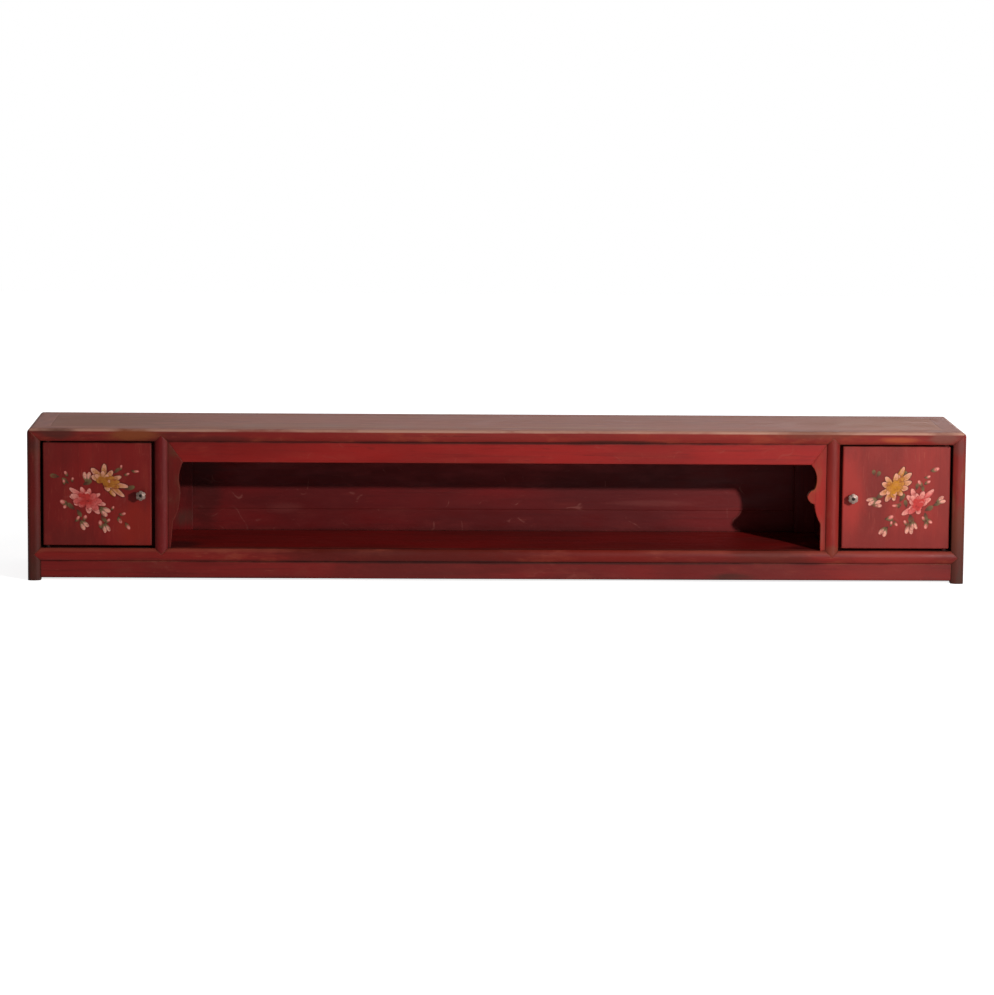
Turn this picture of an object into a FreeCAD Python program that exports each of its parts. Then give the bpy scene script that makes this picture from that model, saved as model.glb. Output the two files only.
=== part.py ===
import FreeCAD, Part
import math
import operator
import os
from types import SimpleNamespace

import Sketcher

Vector = FreeCAD.Vector
Rotation = FreeCAD.Rotation
rightward = Vector(1, 0, 0)
backward = Vector(0, 1, 0)
upward = Vector(0, 0, 1)
eighth_turn = 45
quarter_turn = 90
half_turn = 180
full_turn = 360

# A low red lacquered cabinet that stands on a heated brick bed. A frame of
# posts and rails with rounded faces holds floating boards. The long middle
# bay is open behind a shaped apron, and a small pivot door closes each end.
# X runs along the front, Y from front to back, Z up from the ground.

# Driving sizes in millimetres
driving_sizes = {
    # Case and its frame
    "case_width": 1900,
    "case_height": 310,
    "case_depth": 300,
    "member": 26,  # thickness of every post and rail, both ways
    "face_fall": 6,  # how far a rounded face curves back at its edge
    "arris_radius": 8,  # rounding where two outer faces meet
    "end_arris_radius": 11,  # over the ends of the top, planed when the frame is together
    "foot_reach": 5.5,  # posts below the base apron
    "base_apron_height": 34.5,
    "base_apron_thickness": 16,
    "base_apron_recess": 5,
    "inner_post_middle": 680,  # from the middle of the case
    "top_rail_width": 44,  # seen from above
    # Joints of the frame
    "point_depth": 8,  # thickness of the pointed shoulders
    "tenon_thickness": 8,
    "tenon_width": 12,
    "rail_tenon_lift": 5,  # tenon above the underside of its rail
    "long_tenon": 18,
    "short_tenon": 8,
    "corner_peg": 6,  # width of the pegs inside the three-way corners
    "corner_peg_cover": 8,  # wood left over a corner peg
    "fit_gap": 0.2,  # round tenons, tongues and ridges
    "small_arris": 1.5,
    # Boards of the top and the floor, with their battens
    "board_thickness": 14,
    "tongue_thickness": 5,
    "tongue_reach": 7,
    "ridge_height": 3,
    "ridge_root": 14,
    "ridge_crown": 20,
    "batten_width": 30,
    "batten_tenon": 8,
    # Upright panels
    "end_panel_thickness": 12,
    "end_panel_recess": 7,
    "partition_thickness": 12,
    "housing_depth": 6,
    "stile_width": 60,
    "stile_inward_reach": 50,  # from the middle of the inner post in front of it
    "stile_tenon_width": 30,
    "back_board_thickness": 10,
    "back_board_setback": 9,  # behind the front of the rear frame
    "back_seam_height": 44,  # above the floor of the niche
    # Apron and brackets of the open bay
    "apron_height": 42,
    "apron_thickness": 14,
    "apron_recess": 7,
    "mitre_run": 31,  # from the inner post to the corner of the opening
    "bracket_foot": 10.5,
    "left_foot_end": 5.5,  # worn narrow at the floor
    "bracket_ledge": 23.5,
    "bracket_root": 24,
    "right_nose_reach": 37.5,
    "left_nose_reach": 24.5,  # this nose is worn down
    "nose_tip_height": 4,
    "nose_tip_bow": 0.5,
    "right_bite_depth": 8,
    "left_bite_depth": 4.5,
    "ogee_bow": 2.3,
    "right_nose_bow": 2.5,
    "left_nose_bow": 0.6,
    # Doors
    "door_thickness": 18,
    "door_recess": 8,
    "outer_gap": 5,
    "inner_gap": 6.5,
    "upper_gap": 3.5,
    "lower_gap": 5,
    "door_arris": 3,
    "pivot_inset": 9,
    "pivot_radius": 5,
    "pivot_play": 0.4,
    "lower_pivot_depth": 5,
    "upper_pivot_depth": 9,
    "pivot_seat": 0.3,
    "door_batten_width": 24,
    "door_batten_thickness": 8,
    "door_batten_margin": 36,  # from the end of the door to the batten's middle
    "door_batten_short": 14,  # from the door's upright edges
    "door_ridge_height": 3,
    "stop_thickness": 12,
    "stop_reach": 20,
    "stop_gap": 0.4,
    # Knobs
    "knob_proud": 12,  # in front of the case
    "knob_inset": 21,
    "knob_height": 104,
    "knob_radius": 10,
    "knob_head": 7,
    "knob_neck_radius": 4.5,
    "knob_rim_fall": 2.5,  # how far its face slopes back from the middle
    "knob_notch_radius": 3.2,
    "knob_dish_depth": 2,
    "washer_radius": 7,
    "washer_thickness": 1.2,
    "screw_radius": 1.8,
    "screw_head_radius": 3.2,
    "screw_bite": 12,
    # Reach of a cutting shape past the wood that it cuts
    "overrun": 2,
}

# Heights in a bracket's outline, as shares of the opening from floor to rail
foot_top_share = 0.252
ledge_share = 0.438
nose_share = 0.505
root_share = 0.575
# Place of the inner battens, as a share of the way from the middle to the inner post
inner_batten_share = 0.4
knob_lobes = 6
tiny = 1e-6

doc = FreeCAD.newDocument("kang_cabinet")
sheet = doc.addObject("Spreadsheet::Sheet", "Sizes")
operations = {"+": operator.add, "-": operator.sub, "*": operator.mul, "/": operator.truediv}


class Length:
    """A size with its present value and the expression that binds it to the sheet."""

    def __init__(self, value, text=None):
        self.value = float(value)
        self.text = text or repr(float(value))

    def __add__(self, other):
        return worked_out(self, "+", other)

    def __radd__(self, other):
        return worked_out(other, "+", self)

    def __sub__(self, other):
        return worked_out(self, "-", other)

    def __rsub__(self, other):
        return worked_out(other, "-", self)

    def __mul__(self, other):
        return worked_out(self, "*", other)

    def __rmul__(self, other):
        return worked_out(other, "*", self)

    def __truediv__(self, other):
        return worked_out(self, "/", other)

    def __neg__(self):
        return worked_out(0, "-", self)


def as_length(item):
    return item if isinstance(item, Length) else Length(item)


def worked_out(first, sign, second):
    first, second = as_length(first), as_length(second)
    value = operations[sign](first.value, second.value)
    return Length(value, f"({first.text} {sign} {second.text})")


def fill_sheet():
    sizes = {}
    for row, (name, value) in enumerate(driving_sizes.items(), 1):
        sheet.set(f"A{row}", name)
        sheet.set(f"B{row}", str(value))
        sheet.setAlias(f"B{row}", name)
        sizes[name] = Length(value, f"Sizes.{name}")
    doc.recompute()
    return SimpleNamespace(**sizes)


s = fill_sheet()


def dome_radius(reach, rise):
    """The radius of an arc that falls by the rise at this reach from its crown."""
    return (reach * reach + rise * rise) / (rise + rise)


# Places that several pieces share, worked out from the driving sizes
half_width = s.case_width / 2
clear_half = half_width - s.member
half_member = s.member / 2
half_depth = s.case_depth / 2
back = s.case_depth
rear_face = back - s.member
moulding_radius = dome_radius(half_member, s.face_fall)
rail_bottom = s.foot_reach + s.base_apron_height
floor_level = rail_bottom + s.member
top_rail_bottom = s.case_height - s.member
opening_height = top_rail_bottom - floor_level
post_inner_face = s.inner_post_middle - half_member
post_outer_face = s.inner_post_middle + half_member
stile_inner_edge = s.inner_post_middle - s.stile_inward_reach
stile_outer_edge = stile_inner_edge + s.stile_width
tenon_front = half_member - s.tenon_thickness / 2
tenon_back = half_member + s.tenon_thickness / 2
# The knobs stand in front of the case, and the origin is under the middle of both
front_y = (s.knob_proud - s.case_depth) / 2


# Ways of making the pieces

finished = []


def finish(item, name):
    item.Label = name
    finished.append(item)
    return item


def bind(item, **lengths):
    for field, length in lengths.items():
        item.setExpression(field, as_length(length).text)


def place(item, at, axis=upward, angle=0):
    """Puts an item at a place that is given from the middle, the front and the ground."""
    across, behind, up = (as_length(step) for step in at)
    behind = front_y + behind
    base = Vector(across.value, behind.value, up.value)
    item.Placement = FreeCAD.Placement(base, Rotation(axis, angle))
    for field, length in zip("xyz", (across, behind, up)):
        item.setExpression(f"Placement.Base.{field}", length.text)


def arc_between(start, stop, radius, leftward):
    """The lesser arc from start to stop, turning left or right on the way."""
    chord = stop - start
    reach = math.sqrt(radius * radius - chord.Length * chord.Length / 4)
    sideways = Vector(-chord.y, chord.x).normalize()
    centre = (start + stop) / 2 + sideways * (reach if leftward else -reach)
    first, last = (start, stop) if leftward else (stop, start)
    angles = [math.atan2(end.y - centre.y, end.x - centre.x) for end in (first, last)]
    return Part.ArcOfCircle(Part.Circle(centre, upward, radius), *angles)


def tie(sketch, kind, target, length):
    number = sketch.addConstraint(Sketcher.Constraint(kind, *target, length.value))
    sketch.setExpression(f"Constraints[{number}]", length.text)


def draw_outline(sketch, corners):
    """Draws a closed outline. A corner is a pair of lengths, and a third one is the
    radius of the arc that leads on from it, less than zero where the arc is hollow."""
    corners = [[as_length(item) for item in corner] for corner in corners]
    spots = [Vector(x.value, y.value) for x, y, *_ in corners]
    following = spots[1:] + spots[:1]
    area = sum(a.x * b.y - b.x * a.y for a, b in zip(spots, following))
    ends = []
    for (_, _, *bend), start, stop in zip(corners, spots, following):
        if bend:
            leftward = (bend[0].value > 0) == (area > 0)
            sketch.addGeometry(arc_between(start, stop, abs(bend[0].value), leftward))
            ends.append((1, 2) if leftward else (2, 1))
        else:
            sketch.addGeometry(Part.LineSegment(start, stop))
            ends.append((1, 2))
    for index, (_, stop) in enumerate(ends):
        other = (index + 1) % len(ends)
        sketch.addConstraint(Sketcher.Constraint("Coincident", index, stop, other, ends[other][0]))
    for index, (x, y, *bend) in enumerate(corners):
        tie(sketch, "DistanceX", (-1, 1, index, ends[index][0]), x)
        tie(sketch, "DistanceY", (-1, 1, index, ends[index][0]), y)
        if bend:
            tie(sketch, "Radius", (index,), bend[0] if bend[0].value > 0 else -bend[0])


def draw_ring(sketch, centre, radius):
    across, up = (as_length(step) for step in centre)
    sketch.addGeometry(Part.Circle(Vector(across.value, up.value), upward, radius.value))
    tie(sketch, "DistanceX", (-1, 1, 0, 3), across)
    tie(sketch, "DistanceY", (-1, 1, 0, 3), up)
    tie(sketch, "Radius", (0,), radius)


class Piece:
    """A body made by pads and pockets whose sketches lie on its own origin planes."""

    def __init__(self, name, at, axis=upward, angle=0):
        self.body = doc.addObject("PartDesign::Body", name)
        place(self.body, at, axis, angle)

    def sketch(self, plane, offset):
        sketch = self.body.newObject("Sketcher::SketchObject", "Sketch")
        roles = {feature.Role: feature for feature in self.body.Origin.OriginFeatures}
        sketch.AttachmentSupport = [(roles[plane], "")]
        sketch.MapMode = "FlatFace"
        sketch.setExpression("AttachmentOffset.Base.z", as_length(offset).text)
        return sketch

    def swept(self, kind, plane, outline, low, high):
        # The XZ plane faces the front, so its sketch lies at the far end
        sketch = self.sketch(plane, -as_length(high) if plane == "XZ_Plane" else low)
        if isinstance(outline, dict):
            draw_ring(sketch, **outline)
        else:
            draw_outline(sketch, outline)
        feature = self.body.newObject(kind, kind.split("::")[1])
        feature.Profile = sketch
        feature.setExpression("Length", (as_length(high) - low).text)
        return feature

    def pad(self, plane, outline, low, high):
        return self.swept("PartDesign::Pad", plane, outline, low, high)

    def pocket(self, plane, outline, low, high):
        feature = self.swept("PartDesign::Pocket", plane, outline, low, high)
        feature.Reversed = True
        return feature

    def block(self, across, behind, up):
        return self.pad("XY_Plane", rectangle(across, behind), *up)

    def turned(self, kind, outline):
        """Turns an outline of radius and height about the body's own Z axis."""
        sketch = self.sketch("XZ_Plane", 0)
        draw_outline(sketch, outline)
        feature = self.body.newObject(kind, kind.split("::")[1])
        feature.Profile = sketch
        feature.ReferenceAxis = (sketch, ["V_Axis"])
        feature.Angle = full_turn
        return feature

    def eased(self, kind, chosen):
        doc.recompute()
        base = self.body.Tip
        names = [f"Edge{n}" for n, edge in enumerate(base.Shape.Edges, 1) if chosen(edge)]
        feature = self.body.newObject(f"PartDesign::{kind}", kind)
        feature.Base = (base, names)
        return feature

    def round_edges(self, chosen, radius):
        bind(self.eased("Fillet", chosen), Radius=radius)

    def bevel_edges(self, chosen, size):
        bind(self.eased("Chamfer", chosen), Size=size)


def rectangle(across, behind):
    (left, right), (near, far) = across, behind
    return [(left, near), (right, near), (right, far), (left, far)]


def block(name, across, behind, up):
    """A plain box between two lengths each way."""
    item = doc.addObject("Part::Box", name)
    place(item, (across[0], behind[0], up[0]))
    for field, (low, high) in zip(("Length", "Width", "Height"), (across, behind, up)):
        item.setExpression(field, (as_length(high) - low).text)
    return item


def seat(name, across, behind, up):
    """The hollow for a tenon, tongue or panel, larger all round by the fit's gap."""
    grown = [(as_length(low) - s.fit_gap, as_length(high) + s.fit_gap) for low, high in (across, behind, up)]
    return block(name, *grown)


def joined(name, items):
    item = doc.addObject("Part::MultiFuse", name)
    item.Shapes = items
    item.Refine = True
    return item


def mirrored(name, source):
    item = doc.addObject("Part::Mirroring", name)
    item.Source = source
    item.Normal = rightward
    return item


def both_sides(name, items):
    group = joined(name, items) if len(items) > 1 else items[0]
    return [group, mirrored(f"{name}_mirrored", group)]


def carved(name, blank, tools):
    """The piece that is left when every joint that meets it is cut."""
    item = doc.addObject("Part::Cut", name)
    item.Base = blank.body if isinstance(blank, Piece) else blank
    item.Tool = joined(f"{name}_joints", tools) if len(tools) > 1 else tools[0]
    item.Refine = True
    return finish(item, name)


def carved_pair(name, blank, tools):
    """Carves the right-hand piece and makes its fellow on the left."""
    right = carved(f"right_{name}", blank, tools)
    finish(mirrored(f"left_{name}", right), f"left_{name}")


# Notches that take the pointed shoulders: a square turned on its corner

notch_side = s.member / math.sqrt(2)


def front_notch(name, across, up):
    item = block(name, (0, notch_side), (0, s.point_depth + s.overrun), (0, notch_side))
    place(item, (across - half_member, -s.overrun, up), backward, eighth_turn)
    return item


def side_notch(name, behind, up):
    item = block(name, (0, s.point_depth + s.overrun), (0, notch_side), (0, notch_side))
    place(item, (half_width - s.point_depth, behind, up - half_member), rightward, eighth_turn)
    return item


rail_middle = rail_bottom + half_member
point_notches = SimpleNamespace(
    front_rail=front_notch("front_rail_point_notch", clear_half, rail_middle),
    side_rail_front=side_notch("side_rail_front_point_notch", s.member, rail_middle),
    side_rail_rear=side_notch("side_rail_rear_point_notch", rear_face, rail_middle),
    inner_post_head=front_notch("inner_post_head_notch", s.inner_post_middle, top_rail_bottom),
    inner_post_foot=front_notch("inner_post_foot_notch", s.inner_post_middle, floor_level),
)

# Mortises

rail_tenon_up = (rail_bottom + s.rail_tenon_lift, rail_bottom + s.rail_tenon_lift + s.tenon_width)
side_tenon_across = (half_width - tenon_back, half_width - tenon_front)
post_tenon_across = (s.inner_post_middle - s.tenon_width / 2, s.inner_post_middle + s.tenon_width / 2)
front_tenon_behind = (tenon_front, tenon_back)
rear_tenon_behind = (back - tenon_back, back - tenon_front)
into_end_post = (clear_half, clear_half + s.long_tenon)
into_front_post = (s.member - s.short_tenon, s.member)
into_rear_post = (rear_face, rear_face + s.short_tenon)
into_top_rail = (top_rail_bottom, top_rail_bottom + s.long_tenon)
into_bottom_rail = (floor_level - s.long_tenon, floor_level)
mortises = SimpleNamespace(
    front_rail=seat("front_rail_mortise", into_end_post, front_tenon_behind, rail_tenon_up),
    rear_rail=seat("rear_rail_mortise", into_end_post, rear_tenon_behind, rail_tenon_up),
    side_rail_front=seat("side_rail_front_mortise", side_tenon_across, into_front_post, rail_tenon_up),
    side_rail_rear=seat("side_rail_rear_mortise", side_tenon_across, into_rear_post, rail_tenon_up),
    inner_post_head=seat("inner_post_head_mortise", post_tenon_across, front_tenon_behind, into_top_rail),
    inner_post_foot=seat("inner_post_foot_mortise", post_tenon_across, front_tenon_behind, into_bottom_rail),
)


def pointed_member(name, clear_length, reach, tenon_low, at, axis=upward, angle=0):
    """A rail or post with a rounded face, a pointed shoulder and a tenon at each end.
    It lies along X about its middle, with its rounded face towards the front."""
    piece = Piece(name, at, axis, angle)
    half = clear_length / 2
    tip = half + half_member
    moulded = [
        (s.face_fall, 0),
        (s.point_depth, 0),
        (s.point_depth, s.member),
        (s.face_fall, s.member, moulding_radius),
    ]
    piece.pad("YZ_Plane", moulded, -tip, tip)
    for side in (-1, 1):
        arrow = [
            (side * (half - s.overrun), -s.overrun),
            (side * (tip + s.overrun), -s.overrun),
            (side * (tip + s.overrun), s.member + s.overrun),
            (side * (half - s.overrun), s.member + s.overrun),
            (side * tip, half_member),
        ]
        piece.pocket("XZ_Plane", arrow, -s.overrun, s.point_depth + s.overrun)
    piece.pad("YZ_Plane", rectangle((s.point_depth, s.member), (0, s.member)), -half, half)
    tenon = rectangle((tenon_front, tenon_back), (tenon_low, tenon_low + s.tenon_width))
    piece.pad("YZ_Plane", tenon, -(half + reach), half + reach)
    return piece


def top_rail(name, half_length, moulded, at, angle=0):
    """A rail of the top frame, with a moulded or a flat outer face. Each end is mitred
    in plan to the next rail and on its outer face to the post, so that three members
    meet at the corner."""
    piece = Piece(name, at, upward, angle)
    section = [
        (s.top_rail_width, 0),
        (s.top_rail_width, s.member),
        (s.arris_radius, s.member, s.arris_radius),
        (0, s.member - s.arris_radius),
    ]
    section += [(0, half_member, moulding_radius), (s.face_fall, 0)] if moulded else [(0, 0)]
    piece.pad("YZ_Plane", section, -half_length, half_length)
    over = s.overrun
    for side in (-1, 1):
        plan_mitre = [
            (side * (half_length + over), -over),
            (side * (half_length + over), s.top_rail_width + over),
            (side * (half_length - s.top_rail_width - over), s.top_rail_width + over),
        ]
        piece.pocket("XY_Plane", plan_mitre, -over, s.member + over)
        face_mitre = [
            (side * (half_length + over), s.member + over),
            (side * (half_length + over), -over),
            (side * (half_length - s.member - over), -over),
        ]
        piece.pocket("XZ_Plane", face_mitre, -over, s.top_rail_width + over)
    return piece


def corner_post(name, at, angle, both_moulded):
    """A corner post from the ground to the point of its three-way mitre, with one or
    both of its outer faces moulded."""
    piece = Piece(name, at, upward, angle)
    section = [
        (-s.member, s.member),
        (-s.member, s.face_fall, moulding_radius),
        (-half_member, 0),
        (-s.arris_radius, 0, s.arris_radius),
        (0, s.arris_radius),
    ]
    moulded_side = [(0, half_member, moulding_radius), (-s.face_fall, s.member)]
    section += moulded_side if both_moulded else [(0, s.member)]
    piece.pad("XY_Plane", section, 0, s.case_height)
    over = s.overrun
    low = s.case_height - s.member - over
    high = s.case_height + over
    front_mitre = [(over, high), (-s.member - over, high), (-s.member - over, low)]
    piece.pocket("XZ_Plane", front_mitre, -over, s.member + over)
    side_mitre = [(-over, high), (s.member + over, high), (s.member + over, low)]
    piece.pocket("YZ_Plane", side_mitre, -s.member - over, over)
    for across, behind in (corner_pegs["facing"], corner_pegs["aside"]):
        piece.block((-across[1], -across[0]), behind, (peg_foot, peg_head))
    return piece


# Pegs that rise from a post into the two rails over it. Each stands where its
# rail's side of the mitre is thickest.
peg_head = s.case_height - s.corner_peg_cover
peg_far = s.member - s.corner_peg_cover / 2
peg_foot = s.case_height - s.member - s.overrun
peg_near = s.corner_peg_cover
corner_pegs = {
    "facing": ((peg_far - s.corner_peg, peg_far), (peg_near, peg_near + s.corner_peg)),
    "aside": ((peg_near, peg_near + s.corner_peg), (peg_far - s.corner_peg, peg_far)),
}


def peg_seat(name, kind, rear):
    """The hole for a corner peg, with its places counted from the corner of the case."""
    across, behind = corner_pegs[kind]
    if rear:
        behind = (back - behind[1], back - behind[0])
    return seat(name, (half_width - across[1], half_width - across[0]), behind, (peg_foot, peg_head))


# Boards of the top and the floor


def dovetail(name, middle, level, near, far, gap):
    """A ridge that is wider at its top, along the depth of the case."""
    piece = Piece(name, (middle, 0, level))
    root = s.ridge_root / 2 + gap
    crown = s.ridge_crown / 2 + gap
    high = s.ridge_height + gap
    outline = [(-root, -gap), (root, -gap), (crown, high), (-crown, high)]
    piece.pad("XZ_Plane", outline, near, far)
    return piece.body


def boarding(kind, batten_kind, level, half_span, near, far):
    """Two long boards side by side with tongues all round, on four dovetailed battens.
    Returns their groove and the battens' mortises in the frame."""
    batten_height = s.member - s.board_thickness
    underside = level + batten_height
    tongue_heights = (underside + s.ridge_height, underside + s.ridge_height + s.tongue_thickness)
    places = {
        "inner": s.inner_post_middle * inner_batten_share,
        "outer": (post_outer_face + clear_half) / 2,
    }
    slots = []
    hollows = []
    for where, middle in places.items():
        slot_span = (near - s.overrun, far + s.overrun)
        slot = dovetail(f"{kind}_{where}_slot", middle, underside, *slot_span, s.fit_gap)
        slots += both_sides(f"{kind}_{where}_slots", [slot])
        half_batten = s.batten_width / 2
        plank_across = (middle - half_batten, middle + half_batten)
        plank = block(f"{batten_kind}_{where}_plank", plank_across, (near, far), (level, underside))
        ridge = dovetail(f"{batten_kind}_{where}_ridge", middle, underside, near, far, 0)
        tenon_across = (middle - s.tenon_width / 2, middle + s.tenon_width / 2)
        tenon_behind = (near - s.batten_tenon, far + s.batten_tenon)
        tenon_up = (level + s.small_arris, underside - s.small_arris)
        tenons = block(f"{batten_kind}_{where}_tenons", tenon_across, tenon_behind, tenon_up)
        batten = joined(f"{batten_kind}_{where}_right", [plank, ridge, tenons])
        finish(batten, f"{batten_kind}_{where}_right")
        finish(mirrored(f"{batten_kind}_{where}_left", batten), f"{batten_kind}_{where}_left")
        hollow = seat(f"{batten_kind}_{where}_mortise", tenon_across, tenon_behind, tenon_up)
        hollows += both_sides(f"{batten_kind}_{where}_mortises", [hollow])
    seam = (near + far) / 2
    halves = {
        "front": ((near, seam), (near - s.tongue_reach, seam)),
        "rear": ((seam, far), (seam, far + s.tongue_reach)),
    }
    tongue_across = (-half_span - s.tongue_reach, half_span + s.tongue_reach)
    for half, (field_behind, tongue_behind) in halves.items():
        field_up = (underside, level + s.member)
        field = block(f"{kind}_{half}_field", (-half_span, half_span), field_behind, field_up)
        tongue = block(f"{kind}_{half}_tongue", tongue_across, tongue_behind, tongue_heights)
        board = joined(f"{kind}_{half}_blank", [field, tongue])
        carved(f"{kind}_{half}_board", board, slots)
    groove_behind = (near - s.tongue_reach, far + s.tongue_reach)
    return seat(f"{kind}_groove", tongue_across, groove_behind, tongue_heights), hollows


top_inset = s.top_rail_width
top_groove, top_mortises = boarding(
    "top", "top_batten", top_rail_bottom, half_width - top_inset, top_inset, back - top_inset
)
floor_groove, floor_mortises = boarding("floor", "floor_bearer", rail_bottom, clear_half, s.member, rear_face)


# Upright panels


def end_panel():
    """The floating board that closes an end of the case. Returns its groove."""
    outer = half_width - s.end_panel_recess
    inner = outer - s.end_panel_thickness
    tongue_outer = (outer + inner + s.tongue_thickness) / 2
    tongue = (
        (tongue_outer - s.tongue_thickness, tongue_outer),
        (s.member - s.tongue_reach, rear_face + s.tongue_reach),
        (floor_level - s.tongue_reach, top_rail_bottom + s.tongue_reach),
    )
    field = block("end_panel_field", (inner, outer), (s.member, rear_face), (floor_level, top_rail_bottom))
    panel = joined("right_end_panel", [field, block("end_panel_tongue", *tongue)])
    finish(panel, "right_end_panel")
    finish(mirrored("left_end_panel", panel), "left_end_panel")
    return seat("end_panel_groove", *tongue)


def partition():
    """The wall between the open bay and a door's compartment, housed in the inner post
    and the rear stile and cut round the rails of the top. Returns its housing."""
    half = s.partition_thickness / 2
    near = s.member - s.housing_depth
    far = rear_face + s.housing_depth
    roof = s.case_height - s.board_thickness
    piece = Piece("right_partition", (s.inner_post_middle, 0, 0))
    outline = [
        (near, floor_level),
        (far, floor_level),
        (far, top_rail_bottom),
        (back - s.top_rail_width, top_rail_bottom),
        (back - s.top_rail_width, roof),
        (s.top_rail_width, roof),
        (s.top_rail_width, top_rail_bottom),
        (near, top_rail_bottom),
    ]
    piece.pad("YZ_Plane", outline, -half, half)
    finish(piece.body, "right_partition")
    finish(mirrored("left_partition", piece.body), "left_partition")
    across = (s.inner_post_middle - half, s.inner_post_middle + half)
    return seat("partition_housing", across, (near, far), (floor_level, top_rail_bottom))


def back_boards():
    """The boards of the back: two in the open bay, one behind each compartment.
    Returns the grooves of the middle bay and of the right-hand bay."""
    near = rear_face + s.back_board_setback
    behind = (near, near + s.back_board_thickness)
    up = (floor_level - s.tongue_reach, top_rail_bottom + s.tongue_reach)
    seam = floor_level + s.back_seam_height
    middle = (-stile_inner_edge - s.tongue_reach, stile_inner_edge + s.tongue_reach)
    side = (stile_outer_edge - s.tongue_reach, clear_half + s.tongue_reach)
    finish(block("niche_back_lower_board", middle, behind, (up[0], seam)), "niche_back_lower_board")
    finish(block("niche_back_upper_board", middle, behind, (seam, up[1])), "niche_back_upper_board")
    board = finish(block("right_back_board", side, behind, up), "right_back_board")
    finish(mirrored("left_back_board", board), "left_back_board")
    return seat("niche_back_groove", middle, behind, up), seat("side_back_groove", side, behind, up)


end_panel_groove = end_panel()
partition_housing = partition()
niche_back_groove, side_back_groove = back_boards()


# Apron and brackets of the open bay


def is_level(edge, axis, value):
    """True where both ends of the edge have this value along the axis."""
    return all(math.isclose(vertex.Point[axis], value, abs_tol=tiny) for vertex in edge.Vertexes)


def bow(start, stop, rise):
    """The radius of the arc that stands off its chord by this rise."""
    run, lift = stop[0] - start[0], stop[1] - start[1]
    return (run * run + lift * lift) / (rise * 8) + rise / 2


apron_tongue_near = (s.apron_thickness - s.tongue_thickness) / 2
apron_tongue = (apron_tongue_near, apron_tongue_near + s.tongue_thickness)
apron_groove_behind = (s.apron_recess + apron_tongue[0], s.apron_recess + apron_tongue[1])
mitre_corner = (s.mitre_run, opening_height - s.apron_height)


def niche_apron():
    """The straight head of the open bay, mitred to the brackets. Returns its groove."""
    piece = Piece("niche_apron", (0, s.apron_recess, top_rail_bottom - s.apron_height))
    low_half = post_inner_face - s.mitre_run
    outline = [
        (-low_half, 0),
        (low_half, 0),
        (post_inner_face, s.apron_height),
        (-post_inner_face, s.apron_height),
    ]
    piece.pad("XZ_Plane", outline, 0, s.apron_thickness)
    piece.round_edges(lambda edge: is_level(edge, 1, 0) and is_level(edge, 2, 0), s.small_arris)
    tongue_up = (s.apron_height - s.overrun, s.apron_height + s.tongue_reach)
    piece.block((-low_half, low_half), apron_tongue, tongue_up)
    finish(piece.body, "niche_apron")
    groove_up = (top_rail_bottom, top_rail_bottom + s.tongue_reach)
    return seat("niche_apron_groove", (-low_half, low_half), apron_groove_behind, groove_up)


def niche_bracket(name, side, foot_end, nose_reach, nose_bow, bite_depth):
    """A scalloped bracket: a straight foot, an ogee, a nose and a hollow bite, mitred
    to the apron. Its widths are counted from the inner post."""
    piece = Piece(name, (side * post_inner_face, s.apron_recess, floor_level))
    nose_height = opening_height * nose_share
    half_tip = s.nose_tip_height / 2
    corners = [
        (s.bracket_foot, opening_height * foot_top_share),
        (s.bracket_ledge, opening_height * ledge_share),
        (nose_reach, nose_height - half_tip),
        (nose_reach, nose_height + half_tip),
        (s.bracket_root, opening_height * root_share),
        mitre_corner,
    ]
    rises = [s.ogee_bow, nose_bow, s.nose_tip_bow, nose_bow, -bite_depth]
    outline = [(0, 0), (-side * foot_end, 0)]
    for corner, following, rise in zip(corners, corners[1:], rises):
        outline.append((-side * corner[0], corner[1], bow(corner, following, rise)))
    outline += [(-side * mitre_corner[0], mitre_corner[1]), (0, opening_height)]
    piece.pad("XZ_Plane", outline, 0, s.apron_thickness)
    tongue_across = sorted((side * s.tongue_reach, -side * s.overrun), key=lambda edge: edge.value)
    piece.block(tongue_across, apron_tongue, (0, mitre_corner[1]))
    finish(piece.body, name)


niche_apron_groove = niche_apron()
niche_bracket(
    "niche_left_bracket", -1, s.left_foot_end, s.left_nose_reach, s.left_nose_bow, s.left_bite_depth
)
niche_bracket(
    "niche_right_bracket", 1, s.bracket_foot, s.right_nose_reach, s.right_nose_bow, s.right_bite_depth
)
bracket_groove = seat(
    "bracket_groove",
    (post_inner_face, post_inner_face + s.tongue_reach),
    apron_groove_behind,
    (floor_level, floor_level + mitre_corner[1]),
)


# Base aprons between the feet

base_tongue_near = (s.base_apron_thickness - s.tongue_thickness) / 2
base_tongue = (base_tongue_near, base_tongue_near + s.tongue_thickness)
base_groove_inset = (s.base_apron_recess + base_tongue[0], s.base_apron_recess + base_tongue[1])


def base_apron(name, half_length, at, angle=0):
    """A board under a bottom rail, tongued into the rail and into both posts."""
    piece = Piece(name, at, upward, angle)
    board = rectangle((0, s.base_apron_thickness), (0, s.base_apron_height))
    piece.pad("YZ_Plane", board, -half_length, half_length)
    piece.round_edges(lambda edge: is_level(edge, 1, 0) and is_level(edge, 2, 0), s.small_arris)
    end = half_length + s.tongue_reach
    piece.block((-end, end), base_tongue, (0, s.base_apron_height))
    piece.block((-half_length, half_length), base_tongue, (0, s.base_apron_height + s.tongue_reach))
    return finish(piece.body, name)


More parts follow.
